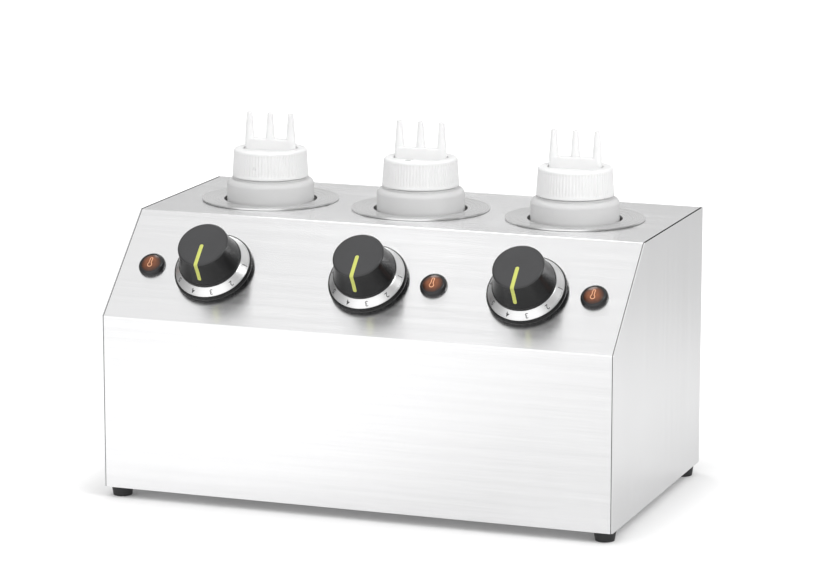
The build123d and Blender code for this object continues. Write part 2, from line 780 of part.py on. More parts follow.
for number, x in enumerate(stations, start=1):
    save(dial_rim(x), f"dial_rim_{number}")
    save(dial_ring(x), f"dial_ring_{number}")
    pointer_part = knob_pointer(x)
    save(knob(x, pointer_part), f"knob_{number}")
    save(pointer_part, f"knob_pointer_{number}")


# ---- Indicator lamps -----------------------------------------------------------------------------
lens_seat = lamp_height - lens_depth


def lamp_bezel(x):
    """Bezel and barrel of a snap-in lamp, with two terminals behind."""
    with BuildPart() as bezel:
        with BuildSketch(slope_profile(x, lamp_up_slope)):
            with BuildLine():
                Polyline((0, lens_seat), (0, -lamp_body_length), (lamp_body_radius, -lamp_body_length),
                         (lamp_body_radius, 0), (lamp_radius, 0), (lamp_radius, lamp_height / 5))
                ThreePointArc(
                    (lamp_radius, lamp_height / 5),
                    (lamp_radius - (lamp_radius - lamp_shoulder_radius) / 4, lamp_height * 0.68),
                    (lamp_shoulder_radius, lamp_height)
                )
                Polyline((lamp_shoulder_radius, lamp_height), (lens_radius + lens_play, lamp_height),
                         (lens_radius + lens_play, lens_seat), (0, lens_seat))
            make_face()
        revolve(axis=slope_axis(x, lamp_up_slope))
        with BuildSketch(slope_plane(x, lamp_up_slope, -lamp_body_length)):
            with GridLocations(lamp_body_radius, 0, 2, 1):
                Rectangle(tab_thickness, tab_width)
        extrude(amount=-tab_length)
    return bezel.part


def lamp_lens(x):
    edge_height = lamp_height - lens_play
    with BuildPart() as lens:
        with BuildSketch(slope_profile(x, lamp_up_slope)):
            with BuildLine():
                Polyline((0, lamp_height + lens_crown), (0, lens_seat), (lens_radius, lens_seat),
                         (lens_radius, edge_height))
                TangentArc((0, lamp_height + lens_crown), (lens_radius, edge_height), tangent=(1, 0))
            make_face()
        revolve(axis=slope_axis(x, lamp_up_slope))
    return lens.part


for number, x in enumerate(lamps, start=1):
    save(lamp_bezel(x), f"lamp_bezel_{number}")
    save(lamp_lens(x), f"lamp_lens_{number}")


# ---- Bottles -------------------------------------------------------------------------------------
def bottle(x):
    """Blow-moulded bottle with a pushed-up base, rounded shoulder and wide neck."""
    base_ring = bottle_radius - bottle_base_radius - bottle_wall
    with BuildPart() as body:
        with BuildSketch(upright_profile(x, well_y)):
            with BuildLine():
                TangentArc((0, bottle_z + base_dome), (base_ring, bottle_z), tangent=(1, 0))
                Polyline(
                    (base_ring, bottle_z), (bottle_radius, bottle_z), (bottle_radius, shoulder_z),
                    (neck_radius, shoulder_z), (neck_radius, neck_top_z),
                    (neck_radius - neck_wall, neck_top_z),
                    (neck_radius - neck_wall, shoulder_z - bottle_wall),
                    (bottle_radius - bottle_wall, shoulder_z - bottle_wall),
                    (bottle_radius - bottle_wall, bottle_z + bottle_wall),
                    (base_ring, bottle_z + bottle_wall)
                )
                TangentArc((0, bottle_z + bottle_wall + base_dome), (base_ring, bottle_z + bottle_wall),
                           tangent=(1, 0))
                Line((0, bottle_z + bottle_wall + base_dome), (0, bottle_z + base_dome))
            profile = make_face()
            corners = profile.vertices()
            for radius, z, rounding in (
                (bottle_radius, bottle_z, bottle_base_radius),
                (bottle_radius - bottle_wall, bottle_z + bottle_wall, bottle_base_radius - bottle_wall),
                (bottle_radius, shoulder_z, shoulder_radius),
                (bottle_radius - bottle_wall, shoulder_z - bottle_wall, shoulder_radius - bottle_wall),
                (neck_radius, shoulder_z, bottle_wall),
            ):
                fillet(corners.sort_by_distance((radius, z))[0], rounding)
        revolve(axis=upright_axis(x, well_y))
    return body.part


# ---- Screw collars: ribbed ring that clamps the nozzle insert on the neck ------------------------
def collar_radius(z):
    """Outer radius of the tapered collar at a height."""
    share = (z - collar_z) / collar_height
    return collar_foot_radius + (collar_head_radius - collar_foot_radius) * share


def ribbed_outline(radius):
    """Corners of the ribbed ring, crest and root by turns."""
    corners = []
    for k in range(2 * rib_count):
        angle = radians(180 * k / rib_count)
        reach = radius - rib_depth * (k % 2)
        corners.append((reach * cos(angle), reach * sin(angle)))
    return corners


def screw_collar(x):
    """Tapered collar with upright ribs, an open top and a lip over the insert."""
    rib_foot_z = collar_z + rib_margin
    rib_head_z = collar_top_z - rib_margin
    with BuildPart() as collar:
        for z in (rib_foot_z, rib_head_z):
            with BuildSketch(Plane(origin=(x, well_y, z))):
                with BuildLine():
                    Polyline(*ribbed_outline(collar_radius(z)), close=True)
                make_face()
        loft(ruled=True)
        with BuildSketch(Plane(origin=(x, well_y, rib_foot_z))):
            Circle(collar_bore)
        extrude(amount=rib_head_z - rib_foot_z, mode=Mode.SUBTRACT)
        with BuildSketch(upright_profile(x, well_y)):
            Polygon(
                (collar_bore, collar_z), (collar_radius(collar_z), collar_z),
                (collar_radius(rib_foot_z), rib_foot_z), (collar_bore, rib_foot_z), align=None
            )
            Polygon(
                (collar_bore, rib_head_z), (collar_radius(rib_head_z), rib_head_z),
                (collar_head_radius, collar_top_z), (collar_hole_radius, collar_top_z),
                (collar_hole_radius, collar_top_z - collar_lip),
                (collar_bore, collar_top_z - collar_lip), align=None
            )
        revolve(axis=upright_axis(x, well_y))
        top_edges = collar.edges().filter_by(GeomType.CIRCLE).group_by(Axis.Z)[-1].sort_by(SortBy.RADIUS)
        fillet(top_edges[-1], collar_edge)
        fillet(collar.edges().filter_by(GeomType.CIRCLE).group_by(Axis.Z)[-1].sort_by(SortBy.RADIUS)[0],
               collar_edge / 2)
    return collar.part


# ---- Nozzle inserts: disc with a raised bar and three tapered spouts -----------------------------
def nozzle_insert(x):
    """Disc clamped by the collar, a plug in the neck, and spouts that are open at their tips."""
    spouts = [(nozzle_pitch * (k - (nozzle_count - 1) / 2), 0) for k in range(nozzle_count)]
    plug_radius = neck_radius - neck_wall - side_play
    with BuildPart() as insert:
        with BuildSketch(Plane(origin=(x, well_y, insert_z))):
            Circle(collar_bore - side_play)
        extrude(amount=insert_thickness)
        with BuildSketch(Plane(origin=(x, well_y, insert_z))):
            Circle(plug_radius)
            Circle(plug_radius - plug_wall, mode=Mode.SUBTRACT)
        extrude(amount=-plug_depth)
        with BuildSketch(Plane(origin=(x, well_y, insert_top_z))):
            SlotOverall(2 * bar_half, 2 * nozzle_base_radius)
        extrude(amount=bar_top_z - insert_top_z)
        fillet(insert.edges().group_by(Axis.Z)[-1], bar_edge)
        with Locations(*[(x + dx, well_y + dy, bar_top_z - bar_edge) for dx, dy in spouts]):
            Cone(nozzle_base_radius, nozzle_tip_radius, nozzle_length + bar_edge,
                 align=(Align.CENTER, Align.CENTER, Align.MIN))
        with Locations(*[(x + dx, well_y + dy, insert_z) for dx, dy in spouts]):
            Cone(nozzle_bore_base, nozzle_bore_tip, nozzle_tip_z - insert_z,
                 align=(Align.CENTER, Align.CENTER, Align.MIN), mode=Mode.SUBTRACT)
    return insert.part


for number, x in enumerate(stations, start=1):
    save(bottle(x), f"bottle_{number}")
    save(screw_collar(x), f"screw_collar_{number}")
    save(nozzle_insert(x), f"nozzle_insert_{number}")


# ---- Supply: cable gland with its nut, and the terminal block ------------------------------------
gland_spot = (gland_x, foot_height + gland_above_edge)
with BuildPart() as cable_gland:
    with BuildSketch(Plane.XZ.offset(-rear_y)):
        with Locations(gland_spot):
            RegularPolygon(gland_hex / 2, 6, major_radius=False)
    extrude(amount=-gland_hex_thickness)
    with BuildSketch(Plane.XZ.offset(-rear_y)):
        with Locations(gland_spot):
            Circle(gland_dome_radius)
    extrude(amount=-gland_reach)
    fillet(cable_gland.edges().group_by(Axis.Y)[-1], gland_dome_radius / 4)
    with BuildSketch(Plane.XZ.offset(-rear_y)):
        with Locations(gland_spot):
            Circle(gland_thread_radius)
    extrude(amount=gland_thread_length)
    with BuildSketch(Plane.XZ.offset(-rear_y - gland_reach)):
        with Locations(gland_spot):
            Circle(gland_bore_radius)
    extrude(amount=gland_reach + gland_thread_length, mode=Mode.SUBTRACT)
save(cable_gland.part, "cable_gland")

with BuildPart() as gland_nut:
    with BuildSketch(Plane.XZ.offset(-rear_y + sheet)):
        with Locations(gland_spot):
            RegularPolygon(gland_hex / 2, 6, major_radius=False)
            Circle(gland_thread_radius + seat, mode=Mode.SUBTRACT)
    extrude(amount=gland_nut_thickness)
save(gland_nut.part, "gland_nut")

block_y = rear_y - sheet - block_from_rear
with BuildPart() as terminal_block:
    with BuildSketch(Plane.XY.offset(base_top_z)):
        with Locations((block_x, block_y)):
            Rectangle(block_width, block_depth)
    extrude(amount=block_height)
    chamfer(terminal_block.edges().group_by(Axis.Z)[-1].filter_by(Axis.X), block_height / 5)
    with BuildSketch(Plane.XY.offset(base_top_z + block_height)):
        with Locations((block_x, block_y)):
            with GridLocations(block_pole_pitch, 0, block_poles, 1):
                Circle(block_pole_pitch / 3.2)
    extrude(amount=-block_height / 3, mode=Mode.SUBTRACT)
    with BuildSketch(Plane.XZ.offset(-(block_y + block_depth / 2))):
        with Locations((block_x, base_top_z + block_height / 3)):
            with GridLocations(block_pole_pitch, 0, block_poles, 1):
                Circle(block_pole_pitch / 4)
    extrude(amount=block_depth, mode=Mode.SUBTRACT)
save(terminal_block.part, "terminal_block")

print(f"front face at y {front_y:.3f}, top plate at z {top_z:.1f}")
print(f"slope {degrees(slope_angle):.2f} degrees, pitch of the stations {station_pitch:.1f}")
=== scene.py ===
# %% [markdown]
# A counter warmer for three squeeze bottles of hot topping. The imported CAD model is loaded first as a
# fixed frame. The flat sheet parts are right as they are and only need a finish. Most round parts are
# worked out again here as a finer surface, because turned parts show their facets in gloss, and the
# other round parts are merged and smoothed copies.

# %% Load the frame
import json

import bmesh
import bpy
import numpy as np
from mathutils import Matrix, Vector

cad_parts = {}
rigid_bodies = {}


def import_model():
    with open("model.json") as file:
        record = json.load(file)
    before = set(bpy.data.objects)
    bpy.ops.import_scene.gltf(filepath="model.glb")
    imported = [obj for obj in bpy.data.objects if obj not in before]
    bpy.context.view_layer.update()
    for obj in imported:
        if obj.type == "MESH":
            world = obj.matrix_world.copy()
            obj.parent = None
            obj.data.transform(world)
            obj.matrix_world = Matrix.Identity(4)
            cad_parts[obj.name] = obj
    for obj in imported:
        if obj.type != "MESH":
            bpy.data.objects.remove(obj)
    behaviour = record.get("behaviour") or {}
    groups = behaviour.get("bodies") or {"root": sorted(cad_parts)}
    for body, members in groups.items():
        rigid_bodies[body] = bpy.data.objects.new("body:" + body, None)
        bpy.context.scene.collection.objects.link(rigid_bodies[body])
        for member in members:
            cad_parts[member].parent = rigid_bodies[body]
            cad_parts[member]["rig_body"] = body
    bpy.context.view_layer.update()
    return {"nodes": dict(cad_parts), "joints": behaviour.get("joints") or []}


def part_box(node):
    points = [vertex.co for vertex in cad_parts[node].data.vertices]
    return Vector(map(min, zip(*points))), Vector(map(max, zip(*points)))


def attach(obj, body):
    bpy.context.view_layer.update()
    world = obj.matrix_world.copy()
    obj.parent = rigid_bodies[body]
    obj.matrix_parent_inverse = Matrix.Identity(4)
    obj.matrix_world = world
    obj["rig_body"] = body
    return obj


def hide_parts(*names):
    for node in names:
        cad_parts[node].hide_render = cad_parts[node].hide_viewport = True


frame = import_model()
nodes = frame["nodes"]
joints = {joint["name"]: joint for joint in frame["joints"]}
MM = 0.001

# %% [markdown]
# Places come from the frame. The knob joints give the three stations and the direction square to the
# sloped panel, and the boxes of the nodes give the heights. Lengths below are in millimetres, and
# only the function that makes a mesh turns them into metres.

# %% Stations and the sloped panel
WELLS = (1, 2, 3)
UP = np.array([0.0, 0.0, 1.0])
ACROSS = np.array([1.0, 0.0, 0.0])


def node_box(name):
    """Lowest and highest corner of a CAD node in millimetres."""
    low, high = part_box(name)
    return np.array(low) / MM, np.array(high) / MM


shell_low, shell_high = node_box("wrap_shell")
top_z = shell_high[2]
casing_foot_z = shell_low[2]
panel_normal = np.array(joints["knob_1_turn"]["axis"], float)
panel_normal /= np.linalg.norm(panel_normal)
up_panel = np.cross(panel_normal, ACROSS)
knob_height_of_joint = 20.0
knob_centres = {k: np.array(joints[f"knob_{k}_turn"]["pos_m"]) / MM - knob_height_of_joint * panel_normal
                for k in WELLS}
well_centres = {k: np.array(joints[f"cap_{k}_turn"]["pos_m"]) / MM for k in WELLS}
lamp_radius = 11.0
lamp_x = {k: node_box(f"lamp_bezel_{k}")[0][0] + lamp_radius for k in WELLS}
lamp_centres = {k: knob_centres[k] + (lamp_x[k] - knob_centres[k][0]) * ACROSS
                for k in WELLS}
print("knobs at", {k: p.round(1).tolist() for k, p in knob_centres.items()})

# %% [markdown]
# Nearly every part is a profile turned round an axis. `rounded` puts an arc on each corner of a
# profile: the arc starts radius * tan(turn / 2) before the corner, and its centre lies on the line
# that halves the corner. `turned` then sweeps the profile, as a grid of angle by profile point.

# %% Mesh helpers
def put_in_scene(name, data):
    """A new object in the scene that carries the mesh, lamp or camera."""
    item = bpy.data.objects.new(name, data)
    bpy.context.scene.collection.objects.link(item)
    return item


def rounded(corners, steps=7):
    """Open outline of (a, b, radius) corners; one with a radius becomes an arc of `steps` points."""
    corners = np.array(corners, float)
    points, radii = corners[:, :2], corners[:, 2]
    to_before = np.roll(points, 1, 0) - points
    to_after = np.roll(points, -1, 0) - points
    to_before /= np.maximum(np.linalg.norm(to_before, axis=1), 1e-9)[:, None]
    to_after /= np.maximum(np.linalg.norm(to_after, axis=1), 1e-9)[:, None]
    inside = np.arccos(np.clip((to_before * to_after).sum(1), -1.0, 1.0))
    inside = np.where(radii > 0, inside, np.pi / 2)
    reach = radii / np.tan(inside / 2)
    start = points + to_before * reach[:, None]
    end = points + to_after * reach[:, None]
    halfway = to_before + to_after
    halfway /= np.maximum(np.linalg.norm(halfway, axis=1), 1e-9)[:, None]
    centre = points + halfway * (radii / np.sin(inside / 2))[:, None]
    first = np.arctan2(*(start - centre).T[::-1])
    sweep = np.arctan2(*(end - centre).T[::-1]) - first
    sweep = (sweep + np.pi) % (2 * np.pi) - np.pi
    angle = first[:, None] + sweep[:, None] * np.linspace(0, 1, steps)
    arcs = centre[:, None] + radii[:, None, None] * np.stack([np.cos(angle), np.sin(angle)], 2)
    arcs = np.where((radii > 0)[:, None, None], arcs, points[:, None])
    outline = arcs.reshape(-1, 2)
    fresh = np.ones(len(outline), bool)
    fresh[1:] = np.linalg.norm(np.diff(outline, axis=0), axis=1) > 1e-6
    return outline[fresh]


def densified(outline, longest):
    """The same outline with its long runs divided, so that no run is longer than `longest`."""
    lengths = np.linalg.norm(np.diff(outline, axis=0), axis=1)
    counts = np.maximum(np.ceil(lengths / longest).astype(int), 1)
    run = np.repeat(np.arange(len(counts)), counts)
    share = (np.arange(counts.sum()) - np.repeat(np.cumsum(counts) - counts, counts)) / counts[run]
    inner = outline[run] + (outline[run + 1] - outline[run]) * share[:, None]
    return np.vstack([inner, outline[-1]])


def grid_faces(rows, columns, close_rows, close_columns):
    """Quads of a rows by columns grid of points, closed round on itself where asked."""
    i, j = np.meshgrid(np.arange(rows - (not close_rows)), np.arange(columns - (not close_columns)),
                       indexing="ij")
    below, right = (i + 1) % rows, (j + 1) % columns
    return np.stack([i * columns + j, below * columns + j, below * columns + right, i * columns + right],
                    2).reshape(-1, 4)


def finish_mesh(name, points, faces, material, body, slot, sharp=40.0, around=None, along=None,
                weld=1e-7, outward=True):
    """Makes a mesh of points in millimetres and faces, welded and smoothed, that rides on a body."""
    mesh = bpy.data.meshes.new(name)
    mesh.from_pydata((points * MM).tolist(), [], faces.tolist())
    if around is not None:
        layer = mesh.attributes.new("around", "FLOAT_VECTOR", "POINT")
        layer.data.foreach_set("vector", around.astype(np.float32).ravel())
    if along is not None:
        layer = mesh.attributes.new("along", "FLOAT", "POINT")
        layer.data.foreach_set("value", along.astype(np.float32).ravel())
    work = bmesh.new()
    work.from_mesh(mesh)
    bmesh.ops.remove_doubles(work, verts=work.verts, dist=weld)
    bmesh.ops.dissolve_degenerate(work, edges=work.edges, dist=weld)
    if outward:
        bmesh.ops.recalc_face_normals(work, faces=work.faces)
    work.to_mesh(mesh)
    work.free()
    mesh.polygons.foreach_set("use_smooth", np.ones(len(mesh.polygons), bool))
    mesh.set_sharp_from_angle(angle=np.radians(sharp))
    mesh.materials.append(material)
    piece = put_in_scene(name, mesh)
    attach(piece, body)
    return piece


def turned_points(outline, centre, axis=UP, zero=ACROSS, sides=128, relief=None, closed=True, angles=None):
    """Grid of centre + axis * height + (radius + relief) * (zero * cos u + side * sin u)."""
    angle = np.linspace(0, 2 * np.pi, sides, endpoint=False) if angles is None else angles
    angle, sides = angle[None, :], len(angle)
    side = np.cross(axis, zero)
    radius = np.repeat(outline[:, :1], sides, 1)
    height = np.repeat(outline[:, 1:], sides, 1)
    if relief is not None:
        radius = radius + relief(angle, height, radius)
    out = zero * np.cos(angle)[..., None] + side * np.sin(angle)[..., None]
    points = centre + axis * height[..., None] + radius[..., None] * out
    around = -zero * np.sin(angle)[..., None] + side * np.cos(angle)[..., None]
    around = np.repeat(around, len(outline), 0)
    path = np.concatenate([[0], np.cumsum(np.linalg.norm(np.diff(outline, axis=0), axis=1))])
    along = np.repeat(path[:, None], sides, 1) * MM
    faces = grid_faces(len(outline), sides, closed, True)
    return points.reshape(-1, 3), faces, around.reshape(-1, 3), along.ravel()


def turned(node, outline, centre, material, body, slot, sharp, **shape):
    """A profile turned round an axis, with the directions for its finish; it stands for a CAD node."""
    points, faces, around, along = turned_points(outline, centre, **shape)
    piece = finish_mesh(f"{node}_form", points, faces, material, body, slot, sharp, around, along)
    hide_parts(node)
    return piece


def joined(*parts):
    """Several (points, faces) as one."""
    starts = np.cumsum([0] + [len(points) for points, faces in parts[:-1]])
    return (np.vstack([points for points, faces in parts]),
            np.vstack([faces + start for start, (points, faces) in zip(starts, parts)]))


print("helpers ready")

# %% [markdown]
# Several finishes need the same small effects, so each effect is a node group that is built once:
# grinding lines on flat sheet, turning lines on round parts, the fine skin of a plastic mould, and
# the soft marks that hands and cloths leave. A group only puts out values that change over the
# surface. Plain numbers stay on the shader's own sockets.

# %% Node group helpers
def new_group(name, inputs, outputs):
    """An empty shader group; inputs are (name, kind, default), outputs are (name, kind)."""
    group = bpy.data.node_groups.new(name, "ShaderNodeTree")
    for label, kind, default in inputs:
        socket = group.interface.new_socket(label, in_out="INPUT", socket_type=f"NodeSocket{kind}")
        if default is not None:
            socket.default_value = default
    for label, kind in outputs:
        group.interface.new_socket(label, in_out="OUTPUT", socket_type=f"NodeSocket{kind}")
    return group, group.nodes.new("NodeGroupInput"), group.nodes.new("NodeGroupOutput")


def fill(tree, pairs):
    """Each (socket, item) pair is linked where the item is a socket, and set where it is plain."""
    for socket, item in pairs:
        if isinstance(item, bpy.types.NodeSocket):
            tree.links.new(item, socket)
        else:
            socket.default_value = item


def value_of(tree, operation, *inputs):
    """A Math node; each input is a number or a socket."""
    node = tree.nodes.new("ShaderNodeMath")
    node.operation = operation
    fill(tree, zip(node.inputs, inputs))
    return node.outputs[0]


def product(tree, *factors):
    """All the factors multiplied together."""
    total = factors[0]
    for factor in factors[1:]:
        total = value_of(tree, "MULTIPLY", total, factor)
    return total


def fade(tree, value, start, end, first, last):
    """Goes smoothly from `first` to `last` as a value goes from `start` to `end`."""
    node = tree.nodes.new("ShaderNodeMapRange")
    node.interpolation_type = "SMOOTHSTEP"
    for label, number in (("From Min", start), ("From Max", end), ("To Min", first), ("To Max", last)):
        node.inputs[label].default_value = number
    tree.links.new(value, node.inputs["Value"])
    return node.outputs["Result"]


def vector_of(tree, operation, *inputs, scale=None, output="Vector"):
    """A Vector Math node; each input is a triple or a socket, and lengths come from output Value."""
    node = tree.nodes.new("ShaderNodeVectorMath")
    node.operation = operation
    fill(tree, zip(node.inputs, inputs))
    if scale is not None:
        fill(tree, [(node.inputs["Scale"], scale)])
    return node.outputs[output]


def object_place(tree):
    """The place on the piece, in metres."""
    return tree.nodes.new("ShaderNodeTexCoord").outputs["Object"]


def attribute_of(tree, name, output):
    """A direction or a way along the profile that was stored with the mesh."""
    node = tree.nodes.new("ShaderNodeAttribute")
    node.attribute_name = name
    return node.outputs[output]


def noise_of(tree, vector, scale, detail=2.0, roughness=0.5, w=None):
    """Grey noise between 0 and 1 on a vector socket, or on a vector and a fourth value."""
    node = tree.nodes.new("ShaderNodeTexNoise")
    node.noise_dimensions = "3D" if w is None else "4D"
    node.inputs["Scale"].default_value = scale
    node.inputs["Detail"].default_value = detail
    node.inputs["Roughness"].default_value = roughness
    tree.links.new(vector, node.inputs["Vector"])
    if w is not None:
        tree.links.new(w, node.inputs["W"])
    return node.outputs["Fac"]


def spread(tree, grey, amount):
    """1 + amount * (grey - 0.5) * 2: a factor that swings round one."""
    centred = value_of(tree, "SUBTRACT", grey, 0.5)
    return value_of(tree, "MULTIPLY_ADD", centred, 2.0 * amount, 1.0)


def finish_group(group, given, result, tone, unevenness, height):
    """Puts out a shade that swings round one by Contrast, a roughness that swings too, and a height."""
    swing = value_of(group, "MULTIPLY", value_of(group, "SUBTRACT", tone, 0.5), 2.0)
    shade = value_of(group, "MULTIPLY_ADD", swing, given.outputs["Contrast"], 1.0)
    rough = value_of(group, "MULTIPLY", given.outputs["Roughness"], spread(group, tone, unevenness))
    fill(group, zip(result.inputs, (shade, rough, height)))
    return group


finish_outputs = [("Shade", "Float"), ("Roughness", "Float"), ("Height", "Float")]


# %% Grinding lines on flat sheet
def make_grinding():
    """Long thin streaks: noise whose coordinates are squeezed along the grinding direction."""
    group, given, result = new_group(
        "grinding_lines",
        [("Vector", "Vector", None), ("Contrast", "Float", 0.04), ("Roughness", "Float", 0.3)],
        finish_outputs)
    fine = noise_of(group, given.outputs["Vector"], 5200.0, 1.0)
    medium = noise_of(group, given.outputs["Vector"], 1500.0, 2.0)
    broad = noise_of(group, given.outputs["Vector"], 210.0, 2.0)
    lines = value_of(group, "MULTIPLY_ADD", medium, 0.6, value_of(group, "MULTIPLY", fine, 0.4))
    mixed = value_of(group, "MULTIPLY_ADD", broad, 0.45, value_of(group, "MULTIPLY", lines, 0.55))
    return finish_group(group, given, result, mixed, 0.35, lines)


# %% Turning lines on round parts
def make_turning():
    """The same streaks bent round an axis: noise on the direction round it and the way along."""
    group, given, result = new_group(
        "turning_lines",
        [("Around", "Vector", None), ("Along", "Float", 0.0), ("Contrast", "Float", 0.06),
         ("Roughness", "Float", 0.3)],
        finish_outputs)
    circle = vector_of(group, "MULTIPLY", given.outputs["Around"], (0.8, 0.8, 0.8))
    fine, medium = (noise_of(group, circle, 1.0, detail,
                             w=value_of(group, "MULTIPLY", given.outputs["Along"], lines_per_metre))
                    for detail, lines_per_metre in ((1.0, 5000.0), (2.0, 1100.0)))
    lines = value_of(group, "MULTIPLY_ADD", medium, 0.55, value_of(group, "MULTIPLY", fine, 0.45))
    return finish_group(group, given, result, lines, 0.35, lines)


# %% Skin of a plastic mould, and marks of use
def make_mould_skin():
    """Fine even grain of a spark-eroded mould, with a slow change of tone under it."""
    group, given, result = new_group(
        "mould_skin",
        [("Grain", "Float", 3000.0), ("Contrast", "Float", 0.05), ("Roughness", "Float", 0.4)],
        finish_outputs)
    place = object_place(group)
    grain = noise_of(group, vector_of(group, "SCALE", place, scale=given.outputs["Grain"]), 1.0, 2.0)
    cloud = noise_of(group, place, 55.0, 3.0)
    return finish_group(group, given, result, cloud, 0.22, grain)


def make_marks():
    """Soft wiped patches: slow noise pushed towards its ends, as a mask between 0 and 1."""
    group, given, result = new_group("wiped_marks", [("Size", "Float", 14.0)], [("Mask", "Float")])
    scaled = vector_of(group, "SCALE", object_place(group), scale=given.outputs["Size"])
    patches = noise_of(group, scaled, 1.0, 4.0, 0.6)
    fill(group, [(result.inputs["Mask"], fade(group, patches, 0.38, 0.66, 0.0, 1.0))])
    return group


grinding, turning = make_grinding(), make_turning()
mould_skin, wiped_marks = make_mould_skin(), make_marks()
print("node groups:", [group.name for group in bpy.data.node_groups])

# %% [markdown]
# Brushed stainless steel spreads a reflection across its grinding lines and keeps it sharp along
# them. That is anisotropy, and its tangent is worked out as normal x grinding direction, so one
# material serves the front, the slope and the top. The lines themselves are streaks of tone,
# roughness and a very low bump.

# %% Material helpers
def new_material(name, colour, roughness, metallic=0.0, **sockets):
    """A Principled material with plain numbers on its sockets; returns it with its tree and shader."""
    material = bpy.data.materials.new(name)
    material.use_nodes = True
    tree = material.node_tree
    shader = tree.nodes["Principled BSDF"]
    shader.inputs["Base Color"].default_value = (*colour, 1.0)
    shader.inputs["Roughness"].default_value = roughness
    shader.inputs["Metallic"].default_value = metallic
    for label, number in sockets.items():
        shader.inputs[label.replace("_", " ")].default_value = number
    return material, tree, shader


def put_group(tree, group, **settings):
    """Places a node group and sets its inputs; an input is a number or a socket."""
    node = tree.nodes.new("ShaderNodeGroup")
    node.node_tree = group
    fill(tree, [(node.inputs[label], item) for label, item in settings.items()])
    return node


def tint(tree, shader, shade, colour):
    """Base colour = colour * shade."""
    tree.links.new(vector_of(tree, "SCALE", colour, scale=shade), shader.inputs["Base Color"])


def bump(tree, shader, height, distance):
    """A bump of `distance` millimetres from a height between 0 and 1."""
    node = tree.nodes.new("ShaderNodeBump")
    node.inputs["Strength"].default_value = 1.0
    node.inputs["Distance"].default_value = distance * MM
    tree.links.new(height, node.inputs["Height"])
    tree.links.new(node.outputs["Normal"], shader.inputs["Normal"])


def take_group(tree, shader, group, colour, relief, level=None):
    """Takes the shade and the height of a group into a material; `level` scales the shade."""
    shade = group.outputs["Shade"]
    tint(tree, shader, shade if level is None else product(tree, shade, level), colour)
    bump(tree, shader, group.outputs["Height"], relief)


def ground_along(tree, shader, direction):
    """The tangent is normal x grinding direction."""
    normal = tree.nodes.new("ShaderNodeNewGeometry").outputs["Normal"]
    tree.links.new(vector_of(tree, "CROSS_PRODUCT", normal, direction), shader.inputs["Tangent"])


def brushed_sheet(name, colour, stretch, direction, roughness=0.23, contrast=0.10):
    """Flat stainless sheet, ground along `direction`; `stretch` squeezes the noise along it."""
    material, tree, shader = new_material(name, colour, roughness, 1.0, Anisotropic=0.9)
    mapping = tree.nodes.new("ShaderNodeMapping")
    mapping.inputs["Scale"].default_value = stretch
    tree.links.new(object_place(tree), mapping.inputs["Vector"])
    lines = put_group(tree, grinding, Vector=mapping.outputs[0], Contrast=contrast, Roughness=roughness)
    marks = put_group(tree, wiped_marks, Size=16.0)
    wiped = spread(tree, marks.outputs["Mask"], 0.06)
    tree.links.new(product(tree, lines.outputs["Roughness"], wiped), shader.inputs["Roughness"])
    take_group(tree, shader, lines, colour, 0.018)
    ground_along(tree, shader, direction)
    return material


def turned_metal(name, colour, roughness=0.28, contrast=0.08, anisotropy=0.7):
    """Spun or turned metal: the lines and the tangent follow the direction round the axis."""
    material, tree, shader = new_material(name, colour, roughness, 1.0, Anisotropic=anisotropy)
    around = attribute_of(tree, "around", "Vector")
    lines = put_group(tree, turning, Around=around, Along=attribute_of(tree, "along", "Fac"),
                      Contrast=contrast, Roughness=roughness)
    tree.links.new(lines.outputs["Roughness"], shader.inputs["Roughness"])
    take_group(tree, shader, lines, colour, 0.015)
    ground_along(tree, shader, around)
    return material


def moulded(name, colour, roughness, grain=3000.0, relief=0.01, contrast=0.05, **sockets):
    """A plastic or rubber moulding with the grain of its mould."""
    material, tree, shader = new_material(name, colour, roughness, 0.0, **sockets)
    skin = put_group(tree, mould_skin, Grain=grain, Contrast=contrast, Roughness=roughness)
    tree.links.new(skin.outputs["Roughness"], shader.inputs["Roughness"])
    take_group(tree, shader, skin, colour, relief)
    return material


def painted_light_grip(name, colour, painted_light_gain, low, high, roughness=0.25):
    """A knob's moulding: painted light makes the cap's top brighter by a set factor from `low` to `high`
    over the panel, and a thin paler ring at `low` is a painted highlight on the cap's edge.
    """
    material, tree, shader = new_material(name, colour, roughness, 0.0, Specular_IOR_Level=0.4)
    skin = put_group(tree, mould_skin, Grain=4200.0, Contrast=0.10, Roughness=roughness)
    over = vector_of(tree, "DOT_PRODUCT", object_place(tree), tuple(panel_normal), output="Value")
    foot = knob_centres[1] @ panel_normal
    # Painted light: the cap's top is tinted brighter than the flank, as if more light falls on it.
    level = fade(tree, over, (foot + low) * MM, (foot + high) * MM, 1.0, painted_light_gain)
    # Painted highlight: a thin paler ring along the cap's edge.
    from_edge = value_of(tree, "ABSOLUTE", value_of(tree, "SUBTRACT", over, (foot + low) * MM))
    level = value_of(tree, "ADD", level, fade(tree, from_edge, 0.1 * MM, 0.5 * MM, 0.6 * painted_light_gain, 0.0))
    tree.links.new(skin.outputs["Roughness"], shader.inputs["Roughness"])
    take_group(tree, shader, skin, colour, 0.010, level)
    return material


